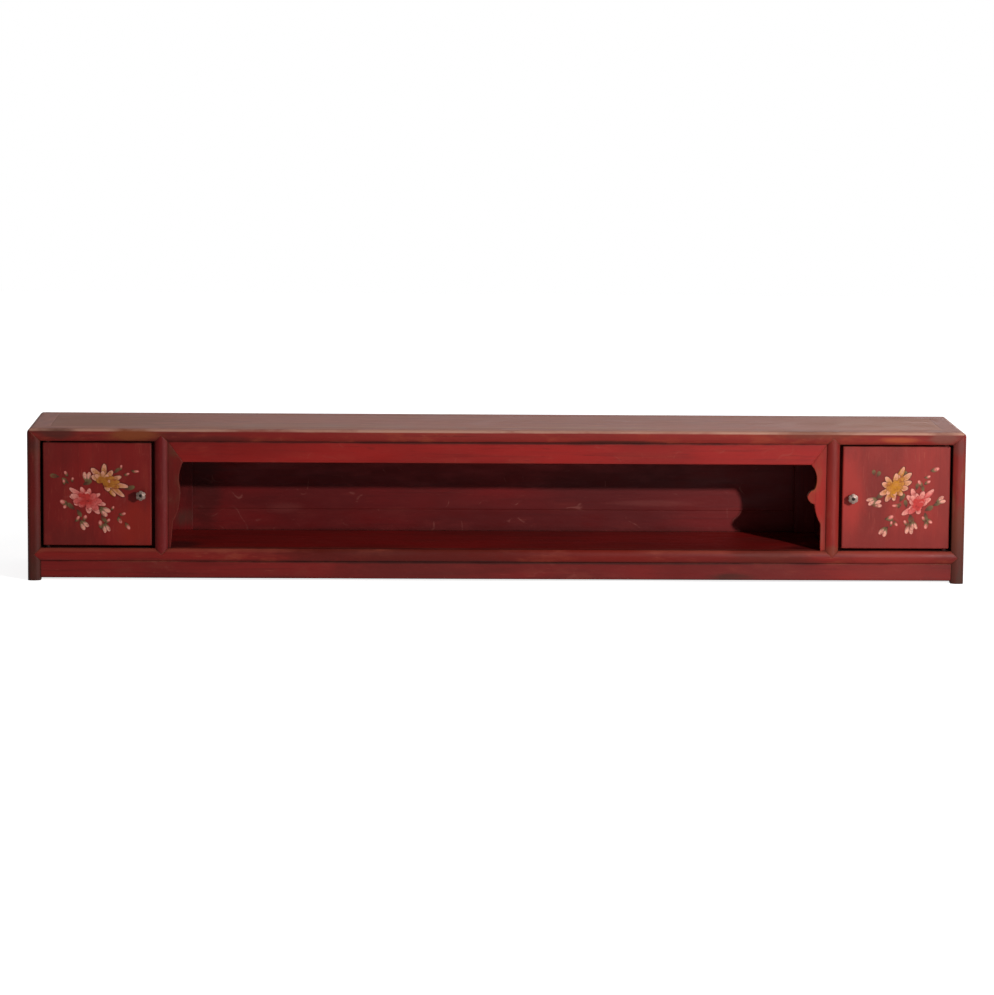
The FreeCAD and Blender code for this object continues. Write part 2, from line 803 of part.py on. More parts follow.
def base_apron_grooves(kind, near, far):
    """The grooves of a base apron in its posts and in its rail, between the posts' faces."""
    into_posts = (near - s.tongue_reach, far + s.tongue_reach)
    into_rail = (near, far)
    post_up = (s.foot_reach, rail_bottom)
    rail_up = (rail_bottom, rail_bottom + s.tongue_reach)
    if kind == "front":
        post_ranges, rail_ranges = (into_posts, base_groove_inset), (into_rail, base_groove_inset)
    else:
        across = (half_width - base_groove_inset[1], half_width - base_groove_inset[0])
        post_ranges, rail_ranges = (across, into_posts), (across, into_rail)
    in_posts = seat(f"{kind}_base_post_groove", *post_ranges, post_up)
    return in_posts, seat(f"{kind}_base_rail_groove", *rail_ranges, rail_up)


base_apron("front_base_apron", clear_half, (0, s.base_apron_recess, s.foot_reach))
side_apron_place = (half_width - s.base_apron_recess, half_depth, s.foot_reach)
side_apron = base_apron("right_base_apron", half_depth - s.member, side_apron_place, quarter_turn)
finish(mirrored("left_base_apron", side_apron), "left_base_apron")
front_base_groove, front_base_rail_groove = base_apron_grooves("front", -clear_half, clear_half)
side_base_groove, side_base_rail_groove = base_apron_grooves("side", s.member, rear_face)


# Doors

door_width = clear_half - s.outer_gap - post_outer_face - s.inner_gap
door_height = opening_height - s.lower_gap - s.upper_gap
pivot_across = clear_half - s.outer_gap - s.pivot_inset
pivot_behind = s.door_recess + s.door_thickness / 2
door_sill = floor_level + s.lower_gap
door_free_edge = s.pivot_inset - door_width
half_door = s.door_thickness / 2
knob_across = door_free_edge + s.knob_inset
knob_place = (pivot_across + knob_across, s.door_recess, door_sill + s.knob_height)
knob_length = s.door_recess + s.knob_proud
screw_hole_radius = s.screw_radius + s.fit_gap


def pivot_socket(name, low, high):
    item = doc.addObject("Part::Cylinder", name)
    place(item, (pivot_across, pivot_behind, low))
    bind(item, Radius=s.pivot_radius + s.pivot_play, Height=high - low)
    return item


def door_ridge(gap):
    """The dovetail of a door batten, as depth and height from the batten's middle."""
    root = s.ridge_root / 2 + gap
    crown = s.ridge_crown / 2 + gap
    deep = half_door - s.door_ridge_height - gap
    return [(half_door + gap, -root), (half_door + gap, root), (deep, crown), (deep, -crown)]


def door_board():
    """A single board that turns on two round pivots cut from its own wood."""
    piece = Piece("right_door_board", (pivot_across, pivot_behind, door_sill))
    arris = s.door_arris
    outline = [
        (door_free_edge, half_door),
        (door_free_edge, arris - half_door, arris),
        (door_free_edge + arris, -half_door),
        (s.pivot_inset - arris, -half_door, arris),
        (s.pivot_inset, arris - half_door),
        (s.pivot_inset, half_door),
    ]
    piece.pad("XY_Plane", outline, 0, door_height)
    ends = (0, door_height.value)
    piece.bevel_edges(lambda edge: any(is_level(edge, 2, end) for end in ends), s.small_arris)
    pivot = {"centre": (0, 0), "radius": s.pivot_radius}
    piece.pad("XY_Plane", pivot, -s.lower_gap - s.lower_pivot_depth, s.overrun)
    piece.pad("XY_Plane", pivot, door_height - s.overrun, door_height + s.upper_gap + s.upper_pivot_depth)
    for middle in (s.door_batten_margin, door_height - s.door_batten_margin):
        slot = [(depth, middle + height) for depth, height in door_ridge(s.fit_gap)]
        slot_end = s.pivot_inset - s.door_batten_short + s.fit_gap
        piece.pocket("YZ_Plane", slot, door_free_edge - s.overrun, slot_end)
    hole = {"centre": (knob_across, s.knob_height), "radius": screw_hole_radius}
    piece.pocket("XZ_Plane", hole, -half_door - s.overrun, s.screw_bite - half_door + s.fit_gap)
    return piece.body


def door_batten(name, middle):
    """A dovetailed batten that keeps the board of a door flat."""
    piece = Piece(name, (pivot_across, pivot_behind, door_sill + middle))
    ends = (door_free_edge + s.door_batten_short, s.pivot_inset - s.door_batten_short)
    half = s.door_batten_width / 2
    rear = half_door + s.door_batten_thickness
    piece.pad("YZ_Plane", rectangle((half_door, rear), (-half, half)), *ends)
    piece.round_edges(lambda edge: is_level(edge, 1, rear.value), s.small_arris)
    piece.pad("YZ_Plane", door_ridge(0), door_free_edge, ends[1])
    return piece.body


def knob():
    """A round knob with a lobed rim, a sloping face and a sunk seat for its screw."""
    piece = Piece("right_knob", knob_place, rightward, quarter_turn)
    start = s.washer_thickness
    head = knob_length - s.knob_head
    seat_radius = s.screw_head_radius + s.fit_gap
    outline = [
        (screw_hole_radius, start),
        (s.knob_neck_radius, start),
        (s.knob_neck_radius, head),
        (s.knob_radius, head),
        (s.knob_radius, knob_length - s.knob_rim_fall),
        (seat_radius, knob_length),
        (seat_radius, knob_length - s.knob_dish_depth),
        (screw_hole_radius, knob_length - s.knob_dish_depth),
    ]
    piece.turned("PartDesign::Revolution", outline)
    notch = piece.pocket(
        "XY_Plane",
        {"centre": (s.knob_radius + s.knob_notch_radius / 2, 0), "radius": s.knob_notch_radius},
        head - s.overrun,
        knob_length + s.overrun,
    )
    doc.recompute()
    pattern = piece.body.newObject("PartDesign::PolarPattern", "PolarPattern")
    pattern.Originals = [notch]
    pattern.Axis = (notch.Profile[0], ["N_Axis"])
    pattern.Angle = full_turn
    pattern.Occurrences = knob_lobes
    piece.body.Tip = pattern
    return piece.body


def knob_washer():
    piece = Piece("right_knob_washer", knob_place, rightward, quarter_turn)
    outline = rectangle((screw_hole_radius, s.washer_radius), (0, s.washer_thickness))
    piece.turned("PartDesign::Revolution", outline)
    return piece.body


def knob_screw():
    """A pan-headed screw through the knob and the washer into the door."""
    piece = Piece("right_knob_screw", knob_place, rightward, quarter_turn)
    seat_height = knob_length - s.knob_dish_depth
    head_height = s.knob_dish_depth - s.fit_gap
    outline = [
        (0, -s.screw_bite),
        (s.screw_radius, -s.screw_bite),
        (s.screw_radius, seat_height),
        (s.screw_head_radius, seat_height),
        (s.screw_head_radius, seat_height + head_height / 2),
        (s.screw_radius, seat_height + head_height),
        (0, seat_height + head_height),
    ]
    piece.turned("PartDesign::Revolution", outline)
    return piece.body


pivot_floor = floor_level - s.lower_pivot_depth - s.pivot_seat
pivot_roof = top_rail_bottom + s.upper_pivot_depth + s.small_arris
lower_socket = pivot_socket("lower_pivot_socket", pivot_floor, floor_level + s.overrun)
upper_socket = pivot_socket("upper_pivot_socket", top_rail_bottom - s.overrun, pivot_roof)
door_pieces = {
    "door_board": door_board(),
    "door_lower_batten": door_batten("right_door_lower_batten", s.door_batten_margin),
    "door_upper_batten": door_batten("right_door_upper_batten", door_height - s.door_batten_margin),
    "knob": knob(),
    "knob_washer": knob_washer(),
    "knob_screw": knob_screw(),
}
for name, body in door_pieces.items():
    finish(body, f"right_{name}")
    finish(mirrored(f"left_{name}", body), f"left_{name}")

stop_near = s.door_recess + s.door_thickness + s.stop_gap
stop_across = s.inner_post_middle + s.partition_thickness / 2
door_stop = block(
    "right_door_stop",
    (stop_across, stop_across + s.stop_reach),
    (stop_near, stop_near + s.stop_thickness),
    (floor_level, top_rail_bottom),
)
finish(door_stop, "right_door_stop")
finish(mirrored("left_door_stop", door_stop), "left_door_stop")


# Posts and rails, carved by every joint that meets them


def end_rounding():
    """What the plane takes off over the end of the top, across all the members there."""
    edge = half_width - s.end_arris_radius
    brow = s.case_height - s.end_arris_radius
    beyond = half_width + s.overrun
    above = s.case_height + s.overrun
    piece = Piece("end_rounding", (0, 0, 0))
    waste = [
        (edge, s.case_height, -s.end_arris_radius),
        (half_width, brow),
        (beyond, brow),
        (beyond, above),
        (edge, above),
    ]
    piece.pad("XZ_Plane", waste, -s.overrun, back + s.overrun)
    return piece.body


end_waste = end_rounding()
stile_middle = (stile_inner_edge + stile_outer_edge) / 2
stile_tenon_across = (stile_middle - s.stile_tenon_width / 2, stile_middle + s.stile_tenon_width / 2)
stile_tenon_up = (floor_level - s.long_tenon, top_rail_bottom + s.long_tenon)
stile_up = (floor_level, top_rail_bottom)
stile_mortise = seat("stile_mortise", stile_tenon_across, rear_tenon_behind, stile_tenon_up)
stile_board = block("rear_stile_board", (stile_inner_edge, stile_outer_edge), (rear_face, back), stile_up)
stile_tenons = block("rear_stile_tenons", stile_tenon_across, rear_tenon_behind, stile_tenon_up)
stile_blank = joined("rear_stile_blank", [stile_board, stile_tenons])
carved_pair("rear_stile", stile_blank, [partition_housing, niche_back_groove, side_back_groove])

inner_post_blank = pointed_member(
    "inner_post_blank",
    opening_height,
    s.long_tenon,
    half_member - s.tenon_width / 2,
    (post_outer_face, 0, floor_level + opening_height / 2),
    backward,
    -quarter_turn,
)
carved_pair("inner_post", inner_post_blank, [partition_housing, bracket_groove])

front_post_blank = corner_post("front_post_blank", (half_width, 0, 0), 0, True)
front_post_joints = [
    point_notches.front_rail,
    point_notches.side_rail_front,
    mortises.front_rail,
    mortises.side_rail_front,
    end_panel_groove,
    floor_groove,
    front_base_groove,
    side_base_groove,
    end_waste,
]
carved_pair("front_post", front_post_blank, front_post_joints)

rear_post_blank = corner_post("rear_post_blank", (half_width, back, 0), quarter_turn, False)
rear_post_joints = [
    point_notches.side_rail_rear,
    mortises.rear_rail,
    mortises.side_rail_rear,
    end_panel_groove,
    floor_groove,
    side_base_groove,
    side_back_groove,
    end_waste,
]
carved_pair("rear_post", rear_post_blank, rear_post_joints)

front_rail_place = (0, 0, rail_bottom)
front_rail_blank = pointed_member(
    "bottom_front_rail_blank", clear_half + clear_half, s.long_tenon, s.rail_tenon_lift, front_rail_place
)
front_rail_joints = both_sides(
    "bottom_front_rail_side_joints", [point_notches.inner_post_foot, mortises.inner_post_foot, lower_socket]
)
front_rail_joints += [floor_groove, front_base_rail_groove, *floor_mortises]
carved("bottom_front_rail", front_rail_blank, front_rail_joints)

side_rail_place = (half_width, half_depth, rail_bottom)
side_rail_blank = pointed_member(
    "bottom_side_rail_blank",
    rear_face - s.member,
    s.short_tenon,
    s.rail_tenon_lift,
    side_rail_place,
    upward,
    quarter_turn,
)
carved_pair("bottom_rail", side_rail_blank, [floor_groove, end_panel_groove, side_base_rail_groove])

rear_rail_blank = Piece("bottom_rear_rail_blank", (0, back, rail_bottom), upward, half_turn)
rear_rail_end = clear_half + s.long_tenon
rear_tenon_up = (s.rail_tenon_lift, s.rail_tenon_lift + s.tenon_width)
rear_rail_blank.block((-clear_half, clear_half), (0, s.member), (0, s.member))
rear_rail_blank.block((-rear_rail_end, rear_rail_end), (tenon_front, tenon_back), rear_tenon_up)
rear_rail_joints = both_sides("bottom_rear_rail_side_joints", [stile_mortise, side_back_groove])
rear_rail_joints += [floor_groove, niche_back_groove, *floor_mortises]
carved("bottom_rear_rail", rear_rail_blank, rear_rail_joints)

top_front_blank = top_rail("top_front_rail_blank", half_width, True, (0, 0, top_rail_bottom))
front_peg_seat = peg_seat("front_facing_peg_seat", "facing", False)
top_front_joints = both_sides(
    "top_front_rail_side_joints",
    [point_notches.inner_post_head, mortises.inner_post_head, upper_socket, front_peg_seat, end_waste],
)
carved("top_front_rail", top_front_blank, [top_groove, niche_apron_groove, *top_mortises, *top_front_joints])

top_rear_blank = top_rail("top_rear_rail_blank", half_width, False, (0, back, top_rail_bottom), half_turn)
rear_peg_seat = peg_seat("rear_facing_peg_seat", "facing", True)
top_rear_joints = both_sides(
    "top_rear_rail_side_joints", [stile_mortise, side_back_groove, rear_peg_seat, end_waste]
)
carved("top_rear_rail", top_rear_blank, [top_groove, niche_back_groove, *top_mortises, *top_rear_joints])

top_side_place = (half_width, half_depth, top_rail_bottom)
top_side_blank = top_rail("top_side_rail_blank", half_depth, True, top_side_place, quarter_turn)
top_side_joints = [
    top_groove,
    end_panel_groove,
    peg_seat("front_aside_peg_seat", "aside", False),
    peg_seat("rear_aside_peg_seat", "aside", True),
    end_waste,
]
carved_pair("top_rail", top_side_blank, top_side_joints)


# Checks, and one file for each piece


def check_document():
    failed = [item.Name for item in doc.Objects if {"Invalid", "Error"} & set(item.State)]
    unsound = [item.Label for item in finished if item.Shape.isNull() or not item.Shape.isValid()]
    split = [item.Label for item in finished if len(item.Shape.Solids) != 1]
    idle = []
    for item in doc.Objects:
        if item.isDerivedFrom("PartDesign::Pocket") and item.Shape.Volume >= item.BaseFeature.Shape.Volume:
            idle.append(item.Name)
        if item.isDerivedFrom("Part::Cut") and item.Shape.Volume >= item.Base.Shape.Volume:
            idle.append(item.Name)
    if failed or unsound or split or idle:
        raise RuntimeError(f"failed {failed}, unsound {unsound}, split {split}, cut nothing {idle}")


doc.recompute()
check_document()
os.makedirs("parts", exist_ok=True)
for item in finished:
    item.Shape.exportStep(f"parts/{item.Label}.step")
print(f"{len(finished)} pieces written")
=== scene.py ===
import math
import random
import bpy
from mathutils import Matrix, Vector


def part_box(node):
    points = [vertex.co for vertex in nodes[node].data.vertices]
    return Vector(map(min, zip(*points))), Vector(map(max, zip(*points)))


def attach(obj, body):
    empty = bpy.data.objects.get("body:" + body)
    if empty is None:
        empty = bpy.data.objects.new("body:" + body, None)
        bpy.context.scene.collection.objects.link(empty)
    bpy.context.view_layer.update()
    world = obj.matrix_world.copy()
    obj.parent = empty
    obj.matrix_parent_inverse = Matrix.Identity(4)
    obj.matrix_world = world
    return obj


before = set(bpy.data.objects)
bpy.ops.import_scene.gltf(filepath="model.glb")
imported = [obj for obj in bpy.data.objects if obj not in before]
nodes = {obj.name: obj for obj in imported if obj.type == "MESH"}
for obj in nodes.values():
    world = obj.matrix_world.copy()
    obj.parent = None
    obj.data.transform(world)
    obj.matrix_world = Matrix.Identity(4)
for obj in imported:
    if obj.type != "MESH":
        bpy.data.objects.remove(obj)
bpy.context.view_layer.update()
print("frame loaded,", len(nodes), "nodes")


def mm(size):
    return size / 1000


def linearColour(code):  # sRGB hex to linear
    channels = [int(code[place:place + 2], 16) / 255 for place in (1, 3, 5)]
    return (*[c / 12.92 if c <= 0.04045 else ((c + 0.055) / 1.055) ** 2.4 for c in channels], 1)


def addNode(tree, kind, inputs=None, **settings):
    node = tree.nodes.new("ShaderNode" + kind)
    for name, value in settings.items():
        setattr(node, name, value)
    for socket, value in (inputs or {}).items():
        if isinstance(value, bpy.types.Node):
            value = value.outputs[0]
        if isinstance(value, bpy.types.NodeSocket):
            tree.links.new(value, node.inputs[socket])
        else:
            node.inputs[socket].default_value = value
    return node


soft = {"interpolation_type": "SMOOTHSTEP"}


def patternNoise(tree, coords, spans, detail=3, roughness=0.55):  # spans in mm along x, y and z
    scale = [1 / mm(span) for span in spans]
    stretched = addNode(tree, "Mapping", {"Vector": coords, "Scale": scale})
    return addNode(tree, "TexNoise", {
        "Vector": stretched, "Scale": 1, "Detail": detail, "Roughness": roughness,
    })


# Each layer is its pattern, the values of that pattern where it starts and where it is full,
# its most cover and its colour
def coatOver(tree, colour, layers):
    for pattern, (start, full), cover, tone in layers:
        mask = addNode(tree, "MapRange", {0: pattern, 1: start, 2: full, 4: cover}, **soft)
        mixed = addNode(tree, "Mix", {0: mask, 6: colour, 7: linearColour(tone)}, data_type="RGBA")
        colour = mixed.outputs[2]
    return colour


def smudgedSheen(tree, smudge, span, look):
    start, full = span
    return addNode(tree, "MapRange", {
        0: smudge, 1: start, 2: full,
        3: look["roughness"] - look["smootherBy"], 4: look["roughness"] + look["rougherBy"],
    })


def newMaterial(name):
    material = bpy.data.materials.new(name)
    material.use_nodes = True
    material.node_tree.nodes.clear()
    return material, material.node_tree


def finishMaterial(tree, colour, roughness, normal, specular=0.2, metallic=0):
    shader = addNode(tree, "BsdfPrincipled", {
        "Base Color": colour, "Roughness": roughness, "Normal": normal,
        "Specular IOR Level": specular, "Metallic": metallic,
    })
    addNode(tree, "OutputMaterial", {"Surface": shader})


stretches = {"x": (1, 0, 0), "y": (0, 1, 0), "z": (0, 0, 1)}


def spansAlong(axis, kind, sizes):  # a pattern drawn out along the wood's grain
    return [sizes[kind + ("Length" if along else "Width")] for along in stretches[axis]]


# Softwood that was planed and never coated: age has turned it grey brown, darker in the grain
softwoodLook = {
    "pale": "#8c6a48",
    "dark": "#5a4029",
    "grainLength": 300,
    "grainWidth": 6,  # drawn coarse, to show in the render
    "cloudSize": 90,
    "grainFrom": (0.35, 0.75),
    "grainCover": 0.8,
    "cloudFrom": (0.45, 0.75),
    "cloudCover": 0.6,
    "planeMarks": 0.4,
    "markDepth": 0.5,
    "roughness": 0.75,
    "specular": 0.3,
}
uncoatedSide = dict(softwoodLook, grainCover=0.6, cloudFrom=(0.4, 0.75))


def softwoodColour(tree, look, grain, cloud):
    return coatOver(tree, linearColour(look["pale"]), [
        (grain, look["grainFrom"], look["grainCover"], look["dark"]),
        (cloud, look["cloudFrom"], look["cloudCover"], look["dark"]),
    ])


def planedSoftwood(name, axis):
    material, tree = newMaterial(name)
    look = softwoodLook
    coords = addNode(tree, "TexCoord").outputs["Object"]
    grain = patternNoise(tree, coords, spansAlong(axis, "grain", look), detail=5, roughness=0.6)
    cloud = patternNoise(tree, coords, [look["cloudSize"]] * 3)
    bump = addNode(tree, "Bump", {
        "Strength": look["planeMarks"], "Distance": mm(look["markDepth"]), "Height": grain,
    })
    colour = softwoodColour(tree, look, grain, cloud)
    finishMaterial(tree, colour, look["roughness"], bump, look["specular"])
    return material


# Lacquer, a thin coat of pigment brushed over softwood. Where hands rub, it thins to a paler
# red and then to the brown of the wood, and dirt stays in the grain. The corners and joints
# are darkened by dirt and a painted shade, faces that look up are paled by dust and a painted
# sheen, and rounded edges that look up by wear and a painted highlight.
lacquerSizes = {  # in mm
    "grainLength": 260,
    "grainWidth": 5,  # real grain is about 1 mm, too fine for the render
    "poreLength": 40,
    "poreWidth": 2.2,
    "cloudLength": 330,
    "cloudWidth": 110,
    "smudgeLength": 78,
    "smudgeWidth": 26,
    "chipSize": 7,
    "scratchTurn": 75,  # a scratch bends about this far along
    "edgeReach": 3,  # how wide a sharp edge wears
    "cornerDirtAndShadeReach": 13,  # how far the dirt and the painted shade reach out of a corner
    "brushDepth": 0.5,
    "sideReach": 1,  # a side counts as inner if it looks at the middle from this far off or more
}
# Where each layer starts and where it is full, as values of what it follows
lacquerLayers = {
    "clouds": (0.38, 0.66),
    "grain": (0.5, 0.72),
    "fade": (0.5, 0.72),
    "pores": (0.63, 0.74),
    "scuffs": (0.34, 0.26),
    "scratches": (0.01, 0.003),
    "edge": (0.995, 0.8),
    "dustAndSheen": (0.9, 0.99),
    "arris": (0.2, 0.5),
    "notFlat": (0.995, 0.9),
    "corner": (0.92, 0.55),
    "patch": (1.6, 0.9),
    "foot": (mm(190), mm(15)),
    "sheen": (0.3, 0.7),
    "dull": (0.3, 0.8),
}
# The smudges fray the wear, the dirt, the painted shade and the painted sheen and highlight:
# where each starts, where it is full, and its least share
frayedLayers = {
    "scratches": (0.53, 0.65, 0),
    "edgeWear": (0.3, 0.6, 0),
    "arrisWear": (0.2, 0.5, 0.5),
    "dustAndSheenShare": (0.25, 0.75, 0.5),
    "cornerDirtAndShade": (0.7, 0.35, 0.5),
    "footGrime": (0.2, 0.6, 0.5),
}

frameFinish = {
    "fresh": "#7a211b",
    "deep": "#4a120e",
    "faded": "#8c3c28",
    "clouds": 0.6,
    "fade": 0.5,
    "grain": 0.45,
    "scuff": "#a4523f",  # short pale rubs along the grain
    "scuffs": 0.3,
    "scratch": "#8e4a42",  # thin curved scratches
    "scratches": 0.15,
    "edge": "#8a5a3e",  # sharp edges, rubbed through
    "edgeWear": 0.6,
    "arris": "#b68976",  # rounded edges that look up, rubbed pale and dusty, and a painted highlight
    "arrisWear": 0.85,
    # faces that look up: dust, and a painted sheen
    "dustAndSheen": "#ac6a52",
    "dustAndSheenShare": 0.75,
    # corners and joints, darkened by the ambient occlusion: dirt and a painted shade
    "corner": "#1e0f0a",
    "cornerDirtAndShade": 0.8,  # dirt that the brush and the cloth leave in the corners, and a painted shade there
    "foot": "#44241b",
    "footGrime": 0,  # how brown the lowest stretch is
    "roughness": 0.46,
    "smootherBy": 0.08,  # where it is handled most
    "rougherBy": 0.14,
    "relief": 0.35,  # how deep brush marks and chips are
    "bareSide": 0,  # 1 leaves the side that faces the middle bare, -1 the side that faces away
    "patches": [],  # middle in mm, reach in mm, most cover, colour
    "patchFray": 1.2,  # how much the smudges fray the rim of a patch
}


def grooveShadeAndDirt(height):  # painted shade and dirt: the dark line in the long joint at that height
    return (0, -140, height), (930, 30, 3.5), 0.75, "#2c0d09"


# dust and a painted sheen pale the top's faces
dustAndSheenTop = dict(frameFinish, dustAndSheen="#bc887a", dustAndSheenShare=0.85, roughness=0.64)
# the top's paler, greyer tones are partly a painted sheen
topFinish = dict(
    dustAndSheenTop, fresh="#8c3a2e", deep="#6a2a20", faded="#a06448", roughness=0.66, relief=0.2,
    bareSide=1, patches=[
        ((0, 150, 310), (900, 50, 20), 0.5, "#96584c"),
        # the left end darker: a painted shade
        ((-880, -20, 310), (340, 240, 20), 0.6, "#80523a"),
        ((-420, -90, 310), (360, 60, 20), 0.3, "#9e7c68"),
        # the right end paler: a painted sheen
        ((900, 0, 310), (360, 240, 20), 0.35, "#c48c70"),
        ((150, -100, 310), (330, 40, 20), 0.3, "#b08a72"),
    ])
topRailFinish = dict(dustAndSheenTop, dustAndSheen="#b47e6c", patches=[
    ((-440, -140, 297), (240, 30, 16), 0.7, "#7a1612"),
    ((300, -140, 297), (420, 30, 16), 0.6, "#7c1e18"),
    ((0, 150, 310), (900, 40, 20), 0.6, "#8e4e44"),
    ((-735, -140, 297), (75, 30, 16), 0.85, "#7e3e1e"),
    ((-890, -140, 299), (55, 40, 14), 0.7, "#43221b"),
    ((-560, -140, 290), (90, 30, 10), 0.5, "#4a1a14"),
    ((640, -140, 304), (150, 30, 14), 0.6, "#6a3222"),
    ((905, -140, 298), (40, 40, 16), 0.7, "#6e3f34"),
    ((810, -140, 294), (50, 30, 9), 0.7, "#9c4a2a"),
    ((245, -140, 287), (150, 30, 5), 0.8, "#3c1810"),
    grooveShadeAndDirt(284),
])
# Left and right copies: the left ones are painted darker, a painted shade, and the right ones
# lighter, a painted light, on top of the lamp's own fall-off
shadedLeftPostFinish = dict(
    frameFinish, fresh="#7c1812", deep="#4a110c", faded="#5e3020", fade=0.6, footGrime=0.8,
    arrisWear=0.4, patches=[((-937, -131, 275), (30, 30, 26), 0.6, "#38201a")])
litRightPostFinish = dict(
    shadedLeftPostFinish, fresh="#80201a", deep="#541610", faded="#70402a", footGrime=1,
    patches=[
        ((937, -131, 110), (30, 40, 75), 0.8, "#642e1d"),
        ((937, -131, 280), (30, 40, 24), 0.6, "#5c2e28"),
    ])
shadedLeftInnerPostFinish = dict(
    frameFinish, fresh="#7a1415", deep="#4e0c0c", faded="#6a2420", fade=0.5, arrisWear=0.4)
litRightInnerPostFinish = dict(
    shadedLeftInnerPostFinish, fresh="#7e1d16", deep="#5c130e", faded="#78402a",
    patches=[((683, -140, 66), (30, 30, 14), 0.6, "#6a3422")])
apronFinish = dict(
    frameFinish, fresh="#8c1611", deep="#5e0e0a", faded="#8c281c", edge="#8e4432", edgeWear=0.4,
    fade=0.35, scuffs=0.1, clouds=0.4, cornerDirtAndShade=1, patches=[grooveShadeAndDirt(283)])
# the left bracket is painted darker, a painted shade, and the right one lighter, a painted light
shadedLeftBracketFinish = dict(
    apronFinish, fresh="#6c120c", deep="#460d08", faded="#5c2618", fade=0.7, edgeWear=0.2,
    patches=[((-652, -130, 262), (22, 20, 16), 0.6, "#54301c")])
litRightBracketFinish = dict(
    apronFinish, fresh="#90190f", deep="#64120a", faded="#803520", fade=0.6,
    patches=[
        ((640, -130, 205), (16, 20, 30), 0.8, "#8c4a22"),
        ((658, -130, 100), (10, 20, 50), 0.5, "#7c3c34"),
    ])
bottomRailFinish = dict(
    frameFinish, fresh="#801c17", deep="#50110d", arris="#8c4030", arrisWear=0.5, dustAndSheen="#74332a",
    cornerDirtAndShade=1,
    patches=[
        ((-160, -140, 53), (420, 30, 40), 0.8, "#4c1009"),
        ((560, -140, 53), (110, 30, 40), 0.8, "#54180f"),
        ((200, -140, 53), (240, 30, 40), 0.75, "#6a130a"),
        ((800, -140, 53), (130, 30, 40), 0.5, "#8a2a22"),
        grooveShadeAndDirt(40),
    ])
baseFinish = dict(
    frameFinish, fresh="#781a17", deep="#50110e", faded="#742a20", fade=0.5, cornerDirtAndShade=1,
    patches=[
        ((-160, -140, 22), (260, 30, 40), 0.7, "#561814"),
        ((480, -140, 12), (60, 30, 12), 0.8, "#3c1a10"),
        ((560, -140, 22), (110, 30, 40), 0.5, "#601a16"),
        ((800, -140, 22), (140, 30, 40), 0.5, "#82261f"),
        grooveShadeAndDirt(39),
    ])
pinDarkening = [  # darker in the doors' gaps, where their wooden pins turn
    ((side * 910, -127, height), (16, 16, 4), 1, "#160807")
    for side in (-1, 1)
    for height in (68, 284)
]
# the left door is painted darker, a painted shade, and the right door lighter, a painted light
shadedLeftDoorFinish = dict(
    frameFinish, fresh="#7d1916", deep="#5a1310", faded="#8a2c20", edgeWear=0.5, fade=0.35,
    grain=0.25, arris="#7c2c22", arrisWear=0.4, dustAndSheen="#5a1a14", dustAndSheenShare=0.6, edge="#94483c",
    patches=[
        ((-735, -136, 110), (60, 20, 70), 0.5, "#922414"),
        ((-890, -136, 270), (60, 20, 60), 0.35, "#4e1512"),
        ((-860, -136, 80), (90, 20, 55), 0.7, "#601713"),
        *pinDarkening,
    ])
litRightDoorFinish = dict(
    shadedLeftDoorFinish, fresh="#88251e", deep="#5e1914", faded="#903730", edge="#a86054", grain=0.2,
    patches=[
        ((810, -136, 75), (170, 20, 60), 0.6, "#701c18"),
        ((715, -136, 190), (45, 20, 110), 0.6, "#a02c24"),
        ((910, -136, 190), (40, 20, 120), 0.4, "#6e211c"),
        *pinDarkening,
    ])
innerFinish = dict(
    frameFinish, fresh="#6c0f10", deep="#46090a", faded="#701c19", scuffs=0.1, dustAndSheenShare=0.1,
    edgeWear=0.1, cornerDirtAndShade=0.4, fade=0.35, arrisWear=0.1, grain=0.3)
backFinish = dict(innerFinish, bareSide=-1, scratch="#8a4c44", scratches=0.5, patches=[
    # a paler band under the apron: painted light over the apron's cast shadow
    ((-60, 140, 260), (700, 30, 110), 0.7, "#861a1a"),
    ((440, 139, 140), (150, 20, 60), 0.45, "#5e1413"),
    ((330, 139, 125), (110, 20, 8), 0.25, "#84403a"),
    ((-440, 139, 112), (50, 20, 16), 0.4, "#74302c"),
    ((-605, 139, 150), (50, 20, 130), 0.6, "#38120f"),
])
stileFinish = dict(innerFinish, edgeWear=0, arrisWear=0, cornerDirtAndShade=0, patches=[
    ((-640, 139, 180), (40, 20, 140), 0.6, "#30100e"),
    ((-648, 139, 92), (36, 20, 30), 0.6, "#4c352c"),
])
floorFinish = dict(
    innerFinish, fresh="#860a0c", deep="#5a0608", faded="#8a1616", dustAndSheenShare=0.05, bareSide=1,
    patches=[
        ((-650, -90, 66), (70, 80, 20), 0.7, "#2a1412"),
        # darker at the right front: a painted shade
        ((650, -100, 66), (90, 70, 20), 0.7, "#3c0808"),
    ])
endFinish = dict(frameFinish, bareSide=1)


def scratchLines(tree, coords):  # a scratch runs where a broad noise is at its middle value
    bends = patternNoise(tree, coords, [lacquerSizes["scratchTurn"]] * 3, detail=1)
    aside = addNode(tree, "Math", {0: bends, 1: 0.5}, operation="SUBTRACT")
    return addNode(tree, "Math", {0: aside}, operation="ABSOLUTE")


def frayedPatches(tree, colour, coords, smudge, finish):  # single places: wear, dirt, and some painted light and shade
    for middle, reach, cover, tone in finish["patches"]:
        near = addNode(tree, "Mapping", {
            "Vector": coords,
            "Location": [-m / r for m, r in zip(middle, reach)],
            "Scale": [1 / mm(r) for r in reach],
        })
        far = addNode(tree, "VectorMath", {0: near}, operation="LENGTH").outputs["Value"]
        frayed = addNode(tree, "Math", {
            0: smudge, 1: finish["patchFray"], 2: far,
        }, operation="MULTIPLY_ADD")
        colour = coatOver(tree, colour, [(frayed, lacquerLayers["patch"], cover, tone)])
    return colour


